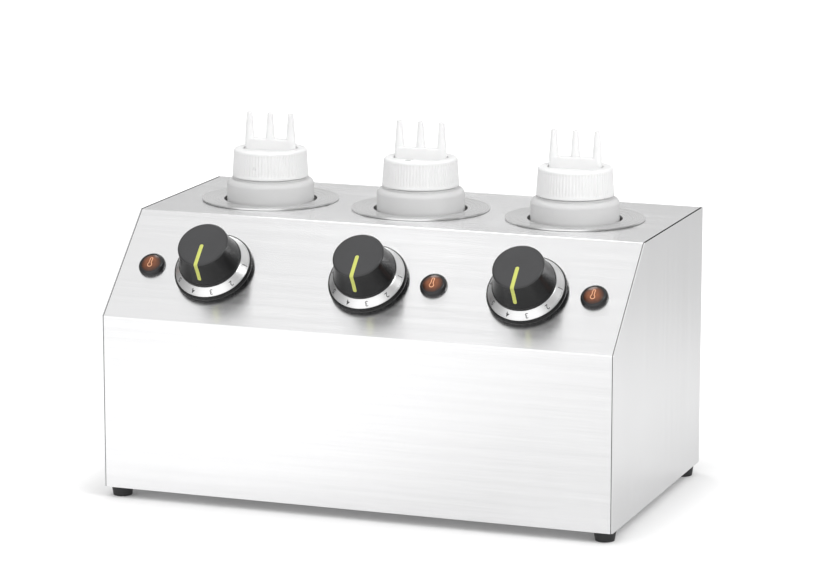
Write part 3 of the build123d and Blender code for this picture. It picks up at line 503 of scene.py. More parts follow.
def prism_lens(name, colour, pitch, relief, rim_start=9.6, rim_width=5.5):
    """A coloured lens with a grid of prisms under a clear skin, sin(a x) * sin(a u); painted shade darkens
    its rim and painted light from the reflector behind it brightens its middle.
    """
    material, tree, shader = new_material(name, colour, 0.4, 0.0, Coat_Weight=1.0, Coat_Roughness=0.13,
                                          Specular_IOR_Level=0.1)
    place = object_place(tree)
    turns = [tuple(direction * 2 * np.pi / (pitch * MM)) for direction in (ACROSS, up_panel)]
    waves = [value_of(tree, "SINE", vector_of(tree, "DOT_PRODUCT", place, turn, output="Value"))
             for turn in turns]
    height = value_of(tree, "MULTIPLY_ADD", product(tree, *waves), 0.5, 0.5)
    cloud = noise_of(tree, place, 160.0, 2.0)
    # Painted shade at the dome's rim, rising to painted light towards its middle.
    painted_rim_shade_and_centre_light = fade(tree, attribute_of(tree, "along", "Fac"), rim_start * MM,
                  (rim_start + rim_width) * MM, 0.25, 1.35)
    shade = product(tree, value_of(tree, "MULTIPLY_ADD", height, 0.8, 0.6),
                    value_of(tree, "MULTIPLY_ADD", cloud, 1.4, 0.3), painted_rim_shade_and_centre_light)
    tint(tree, shader, shade, colour)
    bump(tree, shader, height, relief)
    return material


# %% The finishes
long_x, long_z = (0.012, 1.0, 1.0), (1.0, 1.0, 0.012)
finish = {
    "sheet": brushed_sheet("brushed_sheet_along_width", (0.93, 0.93, 0.935), long_x, (1.0, 0.0, 0.0)),
    "side": brushed_sheet("brushed_sheet_upright", (0.92, 0.92, 0.925), long_z, (0.0, 0.0, 1.0)),
    "well": turned_metal("spun_steel", (0.86, 0.86, 0.86), 0.27, 0.10),
    "sheath": turned_metal("heater_sheath_steel", (0.62, 0.60, 0.56), 0.42, 0.10, 0.3),
    "screw": moulded("zinc_plated_screw", (0.70, 0.70, 0.71), 0.28, 2200.0, 0.006, 0.04, Metallic=1.0),
    "thermoset": moulded("pale_thermoset", (0.74, 0.71, 0.64), 0.5, 2500.0, 0.02, 0.06),
    "spindle": moulded("turned_spindle", (0.60, 0.60, 0.61), 0.3, 3000.0, 0.004, 0.05, Metallic=1.0),
    "copper": moulded("drawn_copper", (0.72, 0.42, 0.28), 0.32, 2500.0, 0.006, 0.08, Metallic=1.0),
    "rubber": moulded("black_rubber", (0.022, 0.022, 0.023), 0.62, 1800.0, 0.03, 0.15),
    # The knobs' finish paints light on the cap's top and a highlight along its edge.
    "knob": painted_light_grip("satin_black_grip_with_painted_light", (0.009, 0.009, 0.0093), 5.5, 34.8, 35.7),
    "rim": moulded("gloss_black_rim", (0.008, 0.008, 0.0085), 0.16, 2500.0, 0.003, 0.08,
                   Specular_IOR_Level=0.35),
    "dial": turned_metal("dial_aluminium", (0.88, 0.88, 0.88), 0.30, 0.12, 0.65),
    "figures": moulded("printed_figures", (0.045, 0.045, 0.047), 0.5, 3000.0, 0.004, 0.10),
    "pointer": moulded("lime_inlay", (0.53, 0.56, 0.13), 0.36, 3000.0, 0.008, 0.05),
    "bezel": moulded("lamp_bezel_black", (0.016, 0.016, 0.017), 0.24, 2600.0, 0.006, 0.08),
    # The lens's finish paints shade at its rim and light at its middle.
    "lens": prism_lens("amber_lens", (0.15, 0.044, 0.014), 1.1, 0.12),
    "pictogram": moulded("lens_pictogram", (0.80, 0.40, 0.22), 0.4, 3000.0, 0.004, 0.04),
    "bottle": moulded("translucent_bottle", (0.80, 0.80, 0.80), 0.36, 800.0, 0.05, 0.02,
                      Transmission_Weight=0.3, IOR=1.3, Subsurface_Weight=0.5,
                      Subsurface_Radius=(1.0, 1.0, 1.0), Subsurface_Scale=0.0015),
    "cap": moulded("translucent_cap", (0.86, 0.86, 0.86), 0.30, 900.0, 0.03, 0.02,
                   Transmission_Weight=0.1, IOR=1.3, Subsurface_Weight=0.5,
                   Subsurface_Radius=(1.0, 1.0, 1.0), Subsurface_Scale=0.0015),
    "gland": moulded("black_nylon", (0.022, 0.022, 0.023), 0.42, 2600.0, 0.012, 0.10),
    # A dark finish for the strips that lie in the side joints as painted shade.
    "bead": moulded("painted_joint_shade", (0.030, 0.030, 0.031), 0.6, 2000.0, 0.01, 0.10),
}
print("finishes:", len(finish))

# %% [markdown]
# Sheet parts stay as the CAD made them. Other round CAD parts are copied, merged and smoothed: the
# copy stands for its node. On a copy that is given a centre, the direction round the axis is normal to
# both the axis and the way out from it, and the way along is the sum of radius and height.

# %% Dress CAD nodes, and smooth copies of them
def dress(name, key):
    """The CAD node keeps its mesh and takes a finish."""
    nodes[name].data.materials.clear()
    nodes[name].data.materials.append(finish[key])


def smooth_copy(node, key, slot, centre=None, axis=UP, sharp=35.0):
    """A merged, smoothed copy of a CAD node that stands for it, with directions for a turned finish."""
    mesh = nodes[node].data
    points = np.empty(len(mesh.vertices) * 3, np.float32)
    mesh.vertices.foreach_get("co", points)
    points = points.reshape(-1, 3).astype(float) / MM
    corners = np.empty(len(mesh.loops), np.int32)
    mesh.loops.foreach_get("vertex_index", corners)
    around = along = None
    if centre is not None:
        out = points - centre
        height = out @ axis
        flat = out - height[:, None] * axis
        radius = np.linalg.norm(flat, axis=1)
        around = np.cross(axis, flat) / np.maximum(radius, 1e-6)[:, None]
        along = (radius + height) * MM
    body = nodes[node]["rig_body"]
    piece = finish_mesh(f"{node}_form", points, corners.reshape(-1, 3), finish[key], body, slot, sharp,
                        around, along, weld=2e-6, outward=False)
    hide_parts(node)
    return piece


for name in ("wrap_shell", "rear_panel", "base_plate"):
    dress(name, "sheet")
for name in ("side_panel_left", "side_panel_right"):
    dress(name, "side")
for k in WELLS:
    dress(f"thermostat_{k}", "thermoset")
    dress(f"spindle_{k}", "spindle")
    dress(f"sensor_{k}", "copper")
    smooth_copy(f"heater_band_{k}", "sheath", "heater_sheath", well_centres[k])
for name in ("clamp_screws", "thermostat_screws"):
    dress(name, "screw")
dress("terminal_block", "thermoset")
dress("gland_nut", "gland")
for k in WELLS:
    smooth_copy(f"well_cup_{k}", "well", "spun_well", well_centres[k])
    smooth_copy(f"nozzle_insert_{k}", "cap", "cap_polyethylene")
    smooth_copy(f"lamp_bezel_{k}", "bezel", "bezel_black")
for k in (1, 2, 3, 4):
    smooth_copy(f"foot_{k}", "rubber", "foot_rubber")

# %% [markdown]
# The bottles are blow-moulded, so a thin ridge runs up both sides where the two halves of the mould
# met. A low bead stands under the collar, and the neck above it carries a coarse screw thread. A
# modifier could wind a thread, but a helix is also
# plain arithmetic: at every angle the ridge stands at start + pitch x turns, so it is added to the
# radius of the turned neck.

# %% Bottles
def soft_step(share):
    """3 t^2 - 2 t^3, held between 0 and 1."""
    share = np.clip(share, 0.0, 1.0)
    return share * share * (3.0 - 2.0 * share)


def thread_relief(angle, height, start, pitch=4.2, turns=3, crest=1.2, width=3.0):
    """Helical ridge: crest * cos^2 of the distance to the nearest turn, faded out at both ends."""
    lap = np.clip(np.round((height - start) / pitch - angle / (2 * np.pi)), 0, turns - 1)
    travelled = lap + angle / (2 * np.pi)
    off = np.abs(height - start - pitch * travelled) / width
    ends = soft_step(travelled / 0.12) * soft_step((turns - travelled) / 0.12)
    return crest * np.cos(np.pi * np.clip(off, 0, 0.5)) ** 2 * ends


bottle_radius, bottle_wall, base_ring, base_dome = 36.0, 1.5, 29.5, 2.5
neck_radius, neck_wall, neck_bead = 26.6, 1.6, 30.7
bottle_z = node_box("bottle_1")[0][2]
shoulder_z = top_z + 18.0
neck_top_z = node_box("bottle_1")[1][2]
dome = np.linspace(0, 1, 12)
dome_under = np.stack([base_ring * dome, bottle_z + base_dome * (1 - dome**2)], 1)
outside = rounded([(base_ring, bottle_z, 0), (bottle_radius, bottle_z, 5), (bottle_radius, shoulder_z, 5),
                   (neck_bead, shoulder_z, 0.9), (neck_bead, shoulder_z + 1.6, 0.6),
                   (neck_radius, shoulder_z + 1.6, 0.5), (neck_radius, shoulder_z + 3.2, 0)], 11)
threaded = np.linspace(shoulder_z + 3.4, neck_top_z - 1.3, 52)
threaded = np.stack([np.full(52, neck_radius), threaded], 1)
inside = rounded([(neck_radius, neck_top_z - 1.0, 0), (neck_radius, neck_top_z, 0.4),
                  (neck_radius - neck_wall, neck_top_z, 0.4),
                  (neck_radius - neck_wall, shoulder_z - 1.5, 0.8),
                  (bottle_radius - bottle_wall, shoulder_z - bottle_wall, 3.5),
                  (bottle_radius - bottle_wall, bottle_z + bottle_wall, 3.5),
                  (base_ring, bottle_z + bottle_wall, 0)])
bottle_outline = np.vstack([dome_under, outside, threaded, inside, dome_under[::-1] + [0, bottle_wall]])
seam_angles = (np.array([0, np.pi])[:, None] + np.array([-0.012, -0.006, 0.006, 0.012])).ravel()
bottle_angles = np.unique(np.concatenate([np.linspace(0, 2 * np.pi, 240, endpoint=False),
                                          seam_angles % (2 * np.pi)]))


def bottle_relief(angle, height, radius):
    """Neck thread, plus a parting ridge 0.15 high and 0.8 wide at each side of the body."""
    on_neck = (np.abs(radius - neck_radius) < 0.01) & (height > shoulder_z + 3)
    to_seam = np.abs((angle + np.pi / 2) % np.pi - np.pi / 2) * radius
    on_skin = (radius > bottle_radius - 1.0) & (height < shoulder_z)
    ridge = 0.15 * np.clip(1 - to_seam / 0.42, 0, 1)
    thread = thread_relief(angle, height, shoulder_z + 4.6)
    return np.where(on_neck, thread, 0.0) + np.where(on_skin, ridge, 0)


for k in WELLS:
    bottle = turned(f"bottle_{k}", bottle_outline, well_centres[k] * [1, 1, 0], finish["bottle"],
                    f"bottle_{k}_body", "bottle_polyethylene", 60.0, angles=bottle_angles,
                    relief=bottle_relief, closed=False)
print("bottle faces:", len(bottle.data.polygons))

# %% [markdown]
# The screw collar has 72 upright grip ribs that run out softly above and below, a well rounded top
# edge and a thread inside. The ribs are a cosine round the axis, which is taken out of the radius.

# %% Screw collars
collar_z, collar_top_z = shoulder_z + 2.0, shoulder_z + 25.0
collar_bore, collar_hole, collar_foot, collar_head = 28.3, 22.6, 31.6, 30.0
rib_count, rib_depth = 72, 0.5


def collar_skin(height):
    return collar_foot + (collar_head - collar_foot) * (height - collar_z) / (collar_top_z - collar_z)


def collar_relief(angle, height, radius):
    """Ribs on the skin: -depth * (half minus half cosine)^1.5; half a pitch behind the neck, its thread."""
    valley = (0.5 - 0.5 * np.cos(rib_count * angle)) ** 1.5
    length = soft_step((height - collar_z - 2.2) / 1.2) * soft_step((collar_top_z - 2.2 - height) / 1.2)
    ribs = np.where(radius > collar_bore + 0.5, -rib_depth * valley * length, 0.0)
    in_bore = (np.abs(radius - collar_bore) < 0.01) & (height < collar_top_z - 1.8)
    return ribs - np.where(in_bore, thread_relief(angle, height, shoulder_z + 6.7, turns=3), 0.0)


rib_rows = np.linspace(collar_z + 2.0, collar_top_z - 2.0, 26)
bore_rows = np.linspace(collar_top_z - 2.0, collar_z + 0.4, 44)
collar_outline = np.vstack([
    rounded([(collar_bore, collar_z, 0), (collar_foot, collar_z, 0.6),
             (collar_skin(collar_z + 1.8), collar_z + 1.8, 0)]),
    np.stack([collar_skin(rib_rows), rib_rows], 1),
    rounded([(collar_skin(collar_top_z - 1.9), collar_top_z - 1.9, 0), (collar_head, collar_top_z, 1.8),
             (collar_hole, collar_top_z, 0.5), (collar_hole, collar_top_z - 1.6, 0.2),
             (collar_bore, collar_top_z - 1.6, 0)], 9),
    np.stack([np.full(44, collar_bore), bore_rows], 1)])
for k in WELLS:
    collar = turned(f"screw_collar_{k}", collar_outline, well_centres[k] * [1, 1, 0], finish["cap"],
                    f"collar_{k}_body", "cap_polyethylene", 50.0, sides=432, relief=collar_relief)
print("collar faces:", len(collar.data.polygons))

# %% [markdown]
# Under each knob lies a fixed dial: a moulded black rim with a round belly, and a coned bright ring
# that rises from the rim to the knob. The ring was turned on a lathe, so its face carries fine
# circular lines, and light runs over it in bands from the centre.

# %% Dial rims and rings
dial_height, ring_rise = 6.5, 5.2
ring_outer, ring_inner = 30.9, 25.0


def ring_face(radius):
    """Height of the cone's face over the panel at a radius."""
    return dial_height + ring_rise * (ring_outer - radius) / (ring_outer - ring_inner)


shaft_hole, rim_foot, rim_belly, rim_edge, rim_floor = 5.1, 30.0, 32.6, 31.6, 3.0
seat_outer, seat_inner, seat_low, seat_high = 31.0, 25.8, 5.34, 9.93
rim_outline = rounded([(shaft_hole, 0, 0), (rim_foot, 0, 0.4), (rim_belly, 3.6, 2.0),
                       (rim_edge, dial_height, 0.45), (seat_outer, dial_height, 0.15),
                       (seat_outer, seat_low, 0), (seat_inner, seat_high, 0),
                       (seat_inner, rim_floor, 0.5), (shaft_hole, rim_floor, 0)])
under_outer, under_inner, ring_top = 5.43, 10.63, 11.7
ring_outline = densified(rounded([(ring_inner, under_inner, 0), (ring_outer, under_outer, 0),
                                  (ring_outer, dial_height, 0.18), (ring_inner, ring_top, 0.18),
                                  (ring_inner, under_inner, 0)], 4)[:-1], 0.8)
for k in WELLS:
    turned(f"dial_rim_{k}", rim_outline, knob_centres[k], finish["rim"], "casing", "knob_black",
           35.0, axis=panel_normal, sides=192)
    turned(f"dial_ring_{k}", ring_outline, knob_centres[k], finish["dial"], "casing", "dial_silver",
           35.0, axis=panel_normal, sides=192)
print("ring face from", ring_face(ring_outer), "to", round(ring_face(ring_inner), 2), "over the panel")

# %% [markdown]
# The knob is a soft-touch grip: a slightly crowned cap with a rounded edge, a hollow flank, and a
# thin skirt that is set off from the flank by a small step. The flank is an arc through three radii.
# The pointer is a lime strip that is let in along the same outline, a hair proud, with round ends: an
# ellipse carried along the outline, which shrinks to nothing at both ends.

# %% Knobs and pointers
knob_base, skirt_height, knob_top = 12.2, 3.0, 36.0
skirt_radius, waist_radius, cap_radius, cap_edge = 25.7, 22.3, 20.8, 1.8
skirt_top = knob_base + skirt_height


def arc_through(first, middle, last, count):
    """Points on the circle through three points, from the first to the last."""
    (ax, ay), (bx, by), (cx, cy) = first, middle, last
    double = 2 * (ax * (by - cy) + bx * (cy - ay) + cx * (ay - by))
    squares = ax**2 + ay**2, bx**2 + by**2, cx**2 + cy**2
    centre = np.array([squares[0] * (by - cy) + squares[1] * (cy - ay) + squares[2] * (ay - by),
                       squares[0] * (cx - bx) + squares[1] * (ax - cx) + squares[2] * (bx - ax)]) / double
    start = np.arctan2(ay - centre[1], ax - centre[0])
    sweep = (np.arctan2(cy - centre[1], cx - centre[0]) - start + np.pi) % (2 * np.pi) - np.pi
    angle = start + sweep * np.linspace(0, 1, count)
    return centre + np.hypot(ax - centre[0], ay - centre[1]) * np.stack([np.cos(angle), np.sin(angle)], 1)


flank = arc_through((skirt_radius - 0.5, skirt_top), (waist_radius, (skirt_top + knob_top) / 2),
                    (cap_radius, knob_top - cap_edge), 25)
edge_turn = np.linspace(0, np.pi / 2, 14)[1:]
crown = 0.45
edge = np.stack([cap_radius - cap_edge * (1 - np.cos(edge_turn)),
                 knob_top - cap_edge + (cap_edge - crown) * np.sin(edge_turn)], 1)
cap_share = np.linspace(1, 0, 14)[1:]
cap = np.stack([(cap_radius - cap_edge) * cap_share, knob_top - crown * cap_share**2], 1)
skin = np.vstack([flank, edge, cap])
skirt = rounded([(skirt_radius - 2.4, knob_base, 0), (skirt_radius, knob_base, 0.3),
                 (skirt_radius, skirt_top - 0.25, 0.45), (skirt_radius - 0.5, skirt_top - 0.25, 0)])
bore, bore_end, hub, ceiling, inside_skirt = 3.05, 27.1, 6.5, 32.6, 23.3
hollow = rounded([(0, bore_end, 0), (bore, bore_end, 0), (bore, knob_base, 0), (hub, knob_base, 0.3),
                  (hub, ceiling, 0.8), (17.8, ceiling, 1.0), (19.3, 24.1, 0),
                  (inside_skirt, skirt_top, 0), (inside_skirt, knob_base, 0)])
knob_outline = np.vstack([hollow, skirt[1:], skin])
for k in WELLS:
    knob = turned(f"knob_{k}", knob_outline, knob_centres[k], finish["knob"], f"knob_{k}_body",
                  "knob_black", 30.0, axis=panel_normal, sides=192, closed=False)


def strip_points(path, normals, across, widths, rise, sink, around=20):
    """Ellipse along a path: path + across * w cos v + normal * h sin v, with h = sink under it."""
    turn = np.linspace(0, 2 * np.pi, around, endpoint=False)
    share = widths / widths.max()
    side = widths[:, None] * np.cos(turn)
    lift = np.where(np.sin(turn) > 0, rise, sink) * np.abs(np.sin(turn)) ** 0.6 * np.sign(np.sin(turn))
    lift = lift * share[:, None] ** 0.5
    points = path[:, None] + across * side[..., None] + normals[:, None] * lift[..., None]
    return points.reshape(-1, 3), grid_faces(len(path), around, False, True)


def pointer_points(centre, low=18.4, inner=0.55, half_width=1.55):
    """The knob's skin from radius `inner` down to height `low`, in the plane that points down the slope."""
    line = skin[::-1]
    line = np.vstack([[inner, knob_top], line[(line[:, 0] > inner) & (line[:, 1] > low)]])
    line = densified(line, 0.35)
    travel = np.concatenate([[0], np.cumsum(np.linalg.norm(np.diff(line, axis=0), axis=1))])
    to_end = np.minimum(travel, travel[-1] - travel)
    widths = half_width * np.sqrt(np.clip(1 - (1 - np.clip(to_end / half_width, 0, 1)) ** 2, 0, 1))
    tangent = np.gradient(line, axis=0)
    tangent /= np.linalg.norm(tangent, axis=1)[:, None]
    out = -tangent[:, 1:] * -up_panel + tangent[:, :1] * panel_normal
    place = centre + line[:, :1] * -up_panel + line[:, 1:] * panel_normal
    return strip_points(place, out, ACROSS, widths, 0.14, 0.35)


for k in WELLS:
    pointer = finish_mesh(f"knob_pointer_{k}_form", *pointer_points(knob_centres[k]), finish["pointer"],
                          f"knob_{k}_body", "pointer_lime", 60.0)
    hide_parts(f"knob_pointer_{k}")
print("knob faces:", len(knob.data.polygons))

# %% [markdown]
# The figures are printed on the coned ring with their tops outward, and the lowest setting is off.
# Type comes from a text object, which is made a mesh at once. Each letter is then laid on the cone,
# and stands a twentieth of a millimetre proud.

# %% Dial figures
def type_mesh(words, size, thickness):
    """Points and triangles of a line of type, centred, `size` high and `thickness` deep."""
    curve = bpy.data.curves.new("type", "FONT")
    curve.body, curve.size, curve.extrude = words, size / 0.73, thickness / 2
    curve.offset = 0.006 * size
    curve.align_x, curve.align_y = "CENTER", "CENTER"
    writing = bpy.data.objects.new("type", curve)
    mesh = bpy.data.meshes.new_from_object(writing)
    mesh.calc_loop_triangles()
    points = np.empty(len(mesh.vertices) * 3, np.float32)
    mesh.vertices.foreach_get("co", points)
    faces = np.empty(len(mesh.loop_triangles) * 3, np.int32)
    mesh.loop_triangles.foreach_get("vertices", faces)
    for block, item in ((bpy.data.objects, writing), (bpy.data.curves, curve), (bpy.data.meshes, mesh)):
        block.remove(item)
    return points.reshape(-1, 3).astype(float), faces.reshape(-1, 3)


figure_places = {"1": 2, "2": -38, "3": -74, "4": -106, "5": -142, "6": 178, "off": 90}
figure_radius = 28.1
ring_tilt = np.arctan2(ring_rise, ring_outer - ring_inner)


def figures_on_ring(centre):
    """A letter's right is round the ring, its up outward down the cone, its depth square to it."""
    parts = []
    for words, degrees in figure_places.items():
        points, faces = type_mesh(words, 4.3 if words.isdigit() else 3.4, 0.1)
        radial = ACROSS * np.cos(np.radians(degrees)) + up_panel * np.sin(np.radians(degrees))
        right = np.cross(radial, panel_normal)
        upward = radial * np.cos(ring_tilt) - panel_normal * np.sin(ring_tilt)
        outward = radial * np.sin(ring_tilt) + panel_normal * np.cos(ring_tilt)
        middle = centre + radial * figure_radius + panel_normal * ring_face(figure_radius)
        round_off = outward * (figure_radius - np.sqrt(figure_radius**2 - points[:, :1] ** 2)) * 0.7
        parts.append((middle + right * points[:, :1] + upward * points[:, 1:2]
                      + outward * points[:, 2:] - round_off, faces))
    return joined(*parts)


for k in WELLS:
    finish_mesh(f"dial_figures_{k}", *figures_on_ring(knob_centres[k]), finish["figures"], "casing",
                "knob_black", outward=False)
print("figures on each ring:", list(figure_places))

# %% [markdown]
# Each lamp has a domed amber lens with a thermometer outline on it. The dome is part of a sphere. The
# outline is a closed path of a stem and a bulb, laid on the dome, and a flat ellipse is carried along
# it as on the pointer.

# %% Lamps
lens_radius, lens_edge, lens_top, lens_seat = 8.1, 4.1, 5.7, 2.2
sphere = (lens_radius**2 + (lens_top - lens_edge) ** 2) / (2 * (lens_top - lens_edge))


def dome_height(radius):
    return lens_top - sphere + np.sqrt(sphere**2 - radius**2)


dome_rows = np.linspace(lens_radius, 0, 22)
lens_outline = np.vstack([[0, lens_seat], [lens_radius, lens_seat], [lens_radius, lens_edge - 0.4],
                          np.stack([dome_rows, dome_height(dome_rows)], 1)])


def thermometer(count=180, bulb=1.75, stem=0.95, bulb_y=-2.5, top_y=3.5):
    """Closed path in the plane of the lens: up the stem, round its top, down, and round the bulb."""
    join = np.arcsin(stem / bulb)
    neck_y = bulb_y + bulb * np.cos(join)
    top = np.linspace(0, np.pi, 16)
    low = np.linspace(np.pi / 2 + join, 5 * np.pi / 2 - join, 40)
    path = np.vstack([
        np.stack([stem * np.cos(top), top_y + stem * np.sin(top)], 1),
        np.stack([bulb * np.cos(low), bulb_y + bulb * np.sin(low)], 1),
        [stem, neck_y], [stem, top_y]])
    travel = np.concatenate([[0], np.cumsum(np.linalg.norm(np.diff(path, axis=0), axis=1))])
    wanted = np.linspace(0, travel[-1], count, endpoint=False)
    return np.stack([np.interp(wanted, travel, path[:, 0]), np.interp(wanted, travel, path[:, 1])], 1)


def pictogram_points(centre, width=0.31, rise=0.10, around=10):
    """The path with an ellipse on it, each point lifted to the dome above its own radius."""
    path = thermometer()
    tangent = np.roll(path, -1, 0) - np.roll(path, 1, 0)
    tangent /= np.linalg.norm(tangent, axis=1)[:, None]
    sideways = np.stack([tangent[:, 1], -tangent[:, 0]], 1)
    turn = np.linspace(0, 2 * np.pi, around, endpoint=False)
    flat = path[:, None] + sideways[:, None] * (width * np.cos(turn))[None, :, None]
    height = dome_height(np.linalg.norm(flat, axis=2)) + rise * np.sin(turn)
    points = centre + flat[..., :1] * ACROSS + flat[..., 1:] * up_panel + height[..., None] * panel_normal
    return points.reshape(-1, 3), grid_faces(len(path), around, True, True)


for k in WELLS:
    lens = turned(f"lamp_lens_{k}", lens_outline, lamp_centres[k], finish["lens"], "casing",
                  "lens_amber", 30.0, axis=panel_normal, sides=96, closed=False)
    finish_mesh(f"lamp_pictogram_{k}", *pictogram_points(lamp_centres[k]), finish["pictogram"], "casing",
                "lens_amber")
print("lens faces:", len(lens.data.polygons))

# %% [markdown]
# The rear panel and the feet are held by pan-head screws with a cross recess. The head is turned, and
# the recess is a cross-shaped mask that pushes its points down. The gland beside them is a hexagon
# with chamfered corners under a fluted dome: both are the same turned profile with a change of radius.

# %% Screws and gland
def screw_points(centre, axis, zero, reach, twist, radius=3.5, height=2.4):
    """Head h = height * (1 - 0.45 t^4) with a cross of depth 1.3, on a plain shank."""
    share = np.linspace(0, 1, 30)
    head = np.stack([radius * share * (1 - 0.03 * share**6), height * (1 - 0.45 * share**4)], 1)
    shank = np.array([[radius, height * 0.5], [radius, 0.02], [1.9, 0.0], [1.9, -reach], [0, -reach]])
    outline = np.vstack([head, shank])
    sides = 72
    points, faces, around, along = turned_points(outline, np.zeros(3), axis, zero, sides, closed=False)
    angle = np.linspace(0, 2 * np.pi, sides, endpoint=False) + np.radians(twist)
    x = outline[:, :1] * np.cos(angle)
    y = outline[:, :1] * np.sin(angle)
    slot_a = soft_step((0.55 - np.abs(x)) / 0.22) * soft_step((2.0 - np.abs(y)) / 0.5)
    slot_b = soft_step((0.55 - np.abs(y)) / 0.22) * soft_step((2.0 - np.abs(x)) / 0.5)
    depth = np.where(outline[:, 1:] > height * 0.5, 1.3 * np.maximum(slot_a, slot_b), 0.0)
    return centre + points - axis * depth.reshape(-1, 1), faces


screw_head = 3.5
rear_low, rear_high = node_box("rear_panel_screws")
rear_y = node_box("rear_panel")[1][1]
rear_xs = (rear_low[0] + screw_head, rear_high[0] - screw_head)
rear_zs = np.linspace(rear_low[2] + screw_head, rear_high[2] - screw_head, 3)
back = np.array([0.0, 1.0, 0.0])
rear_screws = [screw_points(np.array([x, rear_y, z]), back, ACROSS, 7.0, 17.0 * i + 31.0 * j)
               for i, x in enumerate(rear_xs) for j, z in enumerate(rear_zs)]
foot_low, foot_high = node_box("foot_screws")
foot_spots = [(x, y) for x in (foot_low[0] + screw_head, foot_high[0] - screw_head)
              for y in (foot_low[1] + screw_head, foot_high[1] - screw_head)]
foot_screws = [screw_points(np.array([x, y, 4.0]), -UP, ACROSS, 11.0, 23.0 * i)
               for i, (x, y) in enumerate(foot_spots)]
for node, parts in (("rear_panel_screws", rear_screws), ("foot_screws", foot_screws)):
    piece = finish_mesh(f"{node}_form", *joined(*parts), finish["screw"], "casing", "screw_steel", 35.0)
    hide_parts(node)


def gland_relief(angle, height, radius):
    """Hexagon: apothem / cos of the angle from the nearest flat, cut by a cone; the dome has 12 flutes."""
    to_flat = (angle + np.pi / 6) % (np.pi / 3) - np.pi / 6
    hexagon = np.minimum(11.0 / np.cos(to_flat), 12.7 - np.clip(height - 4.1, 0, 1) * 1.4) - radius
    flutes = -0.45 * (0.5 - 0.5 * np.cos(12 * angle)) ** 2
    flutes = flutes * soft_step((height - 5.2) / 1.0) * soft_step((12.6 - height) / 1.6)
    return np.where(radius > 9.5, hexagon, np.where((radius > 8.0) & (height > 5.0), flutes, 0.0))


gland_low, gland_high = node_box("cable_gland")
gland_place = np.array([(gland_low[0] + gland_high[0]) / 2, rear_y, (gland_low[2] + gland_high[2]) / 2])
cable_hole, thread, hexagon_flat, dome_side, dome_end = 3.6, 7.5, 11.0, 8.6, 15.0
gland_outline = np.vstack([
    [[cable_hole, -11.0], [thread, -11.0], [thread, 0.0], [hexagon_flat, 0.02], [hexagon_flat, 4.1],
     [hexagon_flat, 4.6], [hexagon_flat, 5.0], [dome_side, 5.0]],
    np.stack([np.full(14, dome_side), np.linspace(5.2, 12.4, 14)], 1),
    rounded([(dome_side, 12.6, 0), (dome_side, dome_end, 2.1), (4.8, dome_end, 0.3), (4.4, 14.0, 0),
             (cable_hole, 13.8, 0)])])
turned("cable_gland", gland_outline, gland_place, finish["gland"], "casing", "gland_nylon", 35.0,
       axis=back, sides=216, relief=gland_relief)
print("screws:", len(rear_screws) + len(foot_screws))

# %% [markdown]
# Between the folded sheet and each side panel is an open joint. Light doesn't reach its bottom, so a dark
# strip lies there as painted shade. The strip is a small rectangle carried along the side view of the
# casing, a third of a millimetre under the skin.

# %% Dark strips of painted shade in the joints
front_y, rear_face_y = shell_low[1], rear_y
fold_z, slope_run = casing_foot_z + 141.0, 79.0


def side_view(inset):
    """The front, slope and top of the casing as (y, z), moved in and with rounded folds."""
    rise = top_z - fold_z
    length = np.hypot(slope_run, rise)
    cosine, sine = slope_run / length, rise / length
    return rounded([
        (front_y + inset, casing_foot_z + 0.5, 0),
        (front_y + inset, fold_z - inset * (1 - sine) / cosine, 2.0 - inset),
        (front_y + slope_run + inset * (1 - cosine) / sine, top_z - inset, 2.0 - inset),
        (rear_face_y - 0.5, top_z - inset, 0)], 9)


def shade_strip_points(x_low, x_high):
    """Rectangle between two insets and two x values, carried along the side view, closed at both ends."""
    outer, inner = side_view(0.32), side_view(0.9)
    ring = [(x_low, outer), (x_high, outer), (x_high, inner), (x_low, inner)]
    rows = np.stack([np.column_stack([np.full(len(line), x), line]) for x, line in ring], 1)
    middle = rows.mean(1)
    rows = np.concatenate([np.repeat(middle[:1, None], 4, 1), rows, np.repeat(middle[-1:, None], 4, 1)])
    return rows.reshape(-1, 3), grid_faces(len(rows), 4, False, True)


sheet_end, panel_inside = shell_high[0], node_box("side_panel_right")[1][0] - 1.0
shade_strips = joined(shade_strip_points(sheet_end - 0.05, panel_inside + 0.05),
               shade_strip_points(-panel_inside - 0.05, -sheet_end + 0.05))
# Dark strips lie in both joints as painted shade.
finish_mesh("painted_joint_shade_strips", *shade_strips, finish["bead"], "casing", "foot_rubber", 30.0)
print("joint width:", round(panel_inside - sheet_end, 2))

# %% [markdown]
# A product stands on a white sweep in even soft light. Steel shows what it mirrors, so where the
# world is mirrored it falls off from the front to the back and towards both sides, as a studio does,
# and two small soft boxes behind and beside the object are mirrored in the bent sheet. The floor falls
# off in the same way where it is mirrored, and gets brighter beside the casing, where the side panels
# mirror it. The camera sees both as white, and the floor still takes the soft shadow under the casing.

# %% Floor and world
FLOOR_REACH = 6.0
half_footprint = (0.215, 0.13, 0.0)
shadow_reach = 0.09


def rays(tree):
    """1 where the camera looks, straight or through plastic; 1 where it looks into a mirror."""
    path = tree.nodes.new("ShaderNodeLightPath")
    seen = value_of(tree, "MAXIMUM", path.outputs["Is Camera Ray"], path.outputs["Is Transmission Ray"])
    return seen, path.outputs["Is Glossy Ray"]


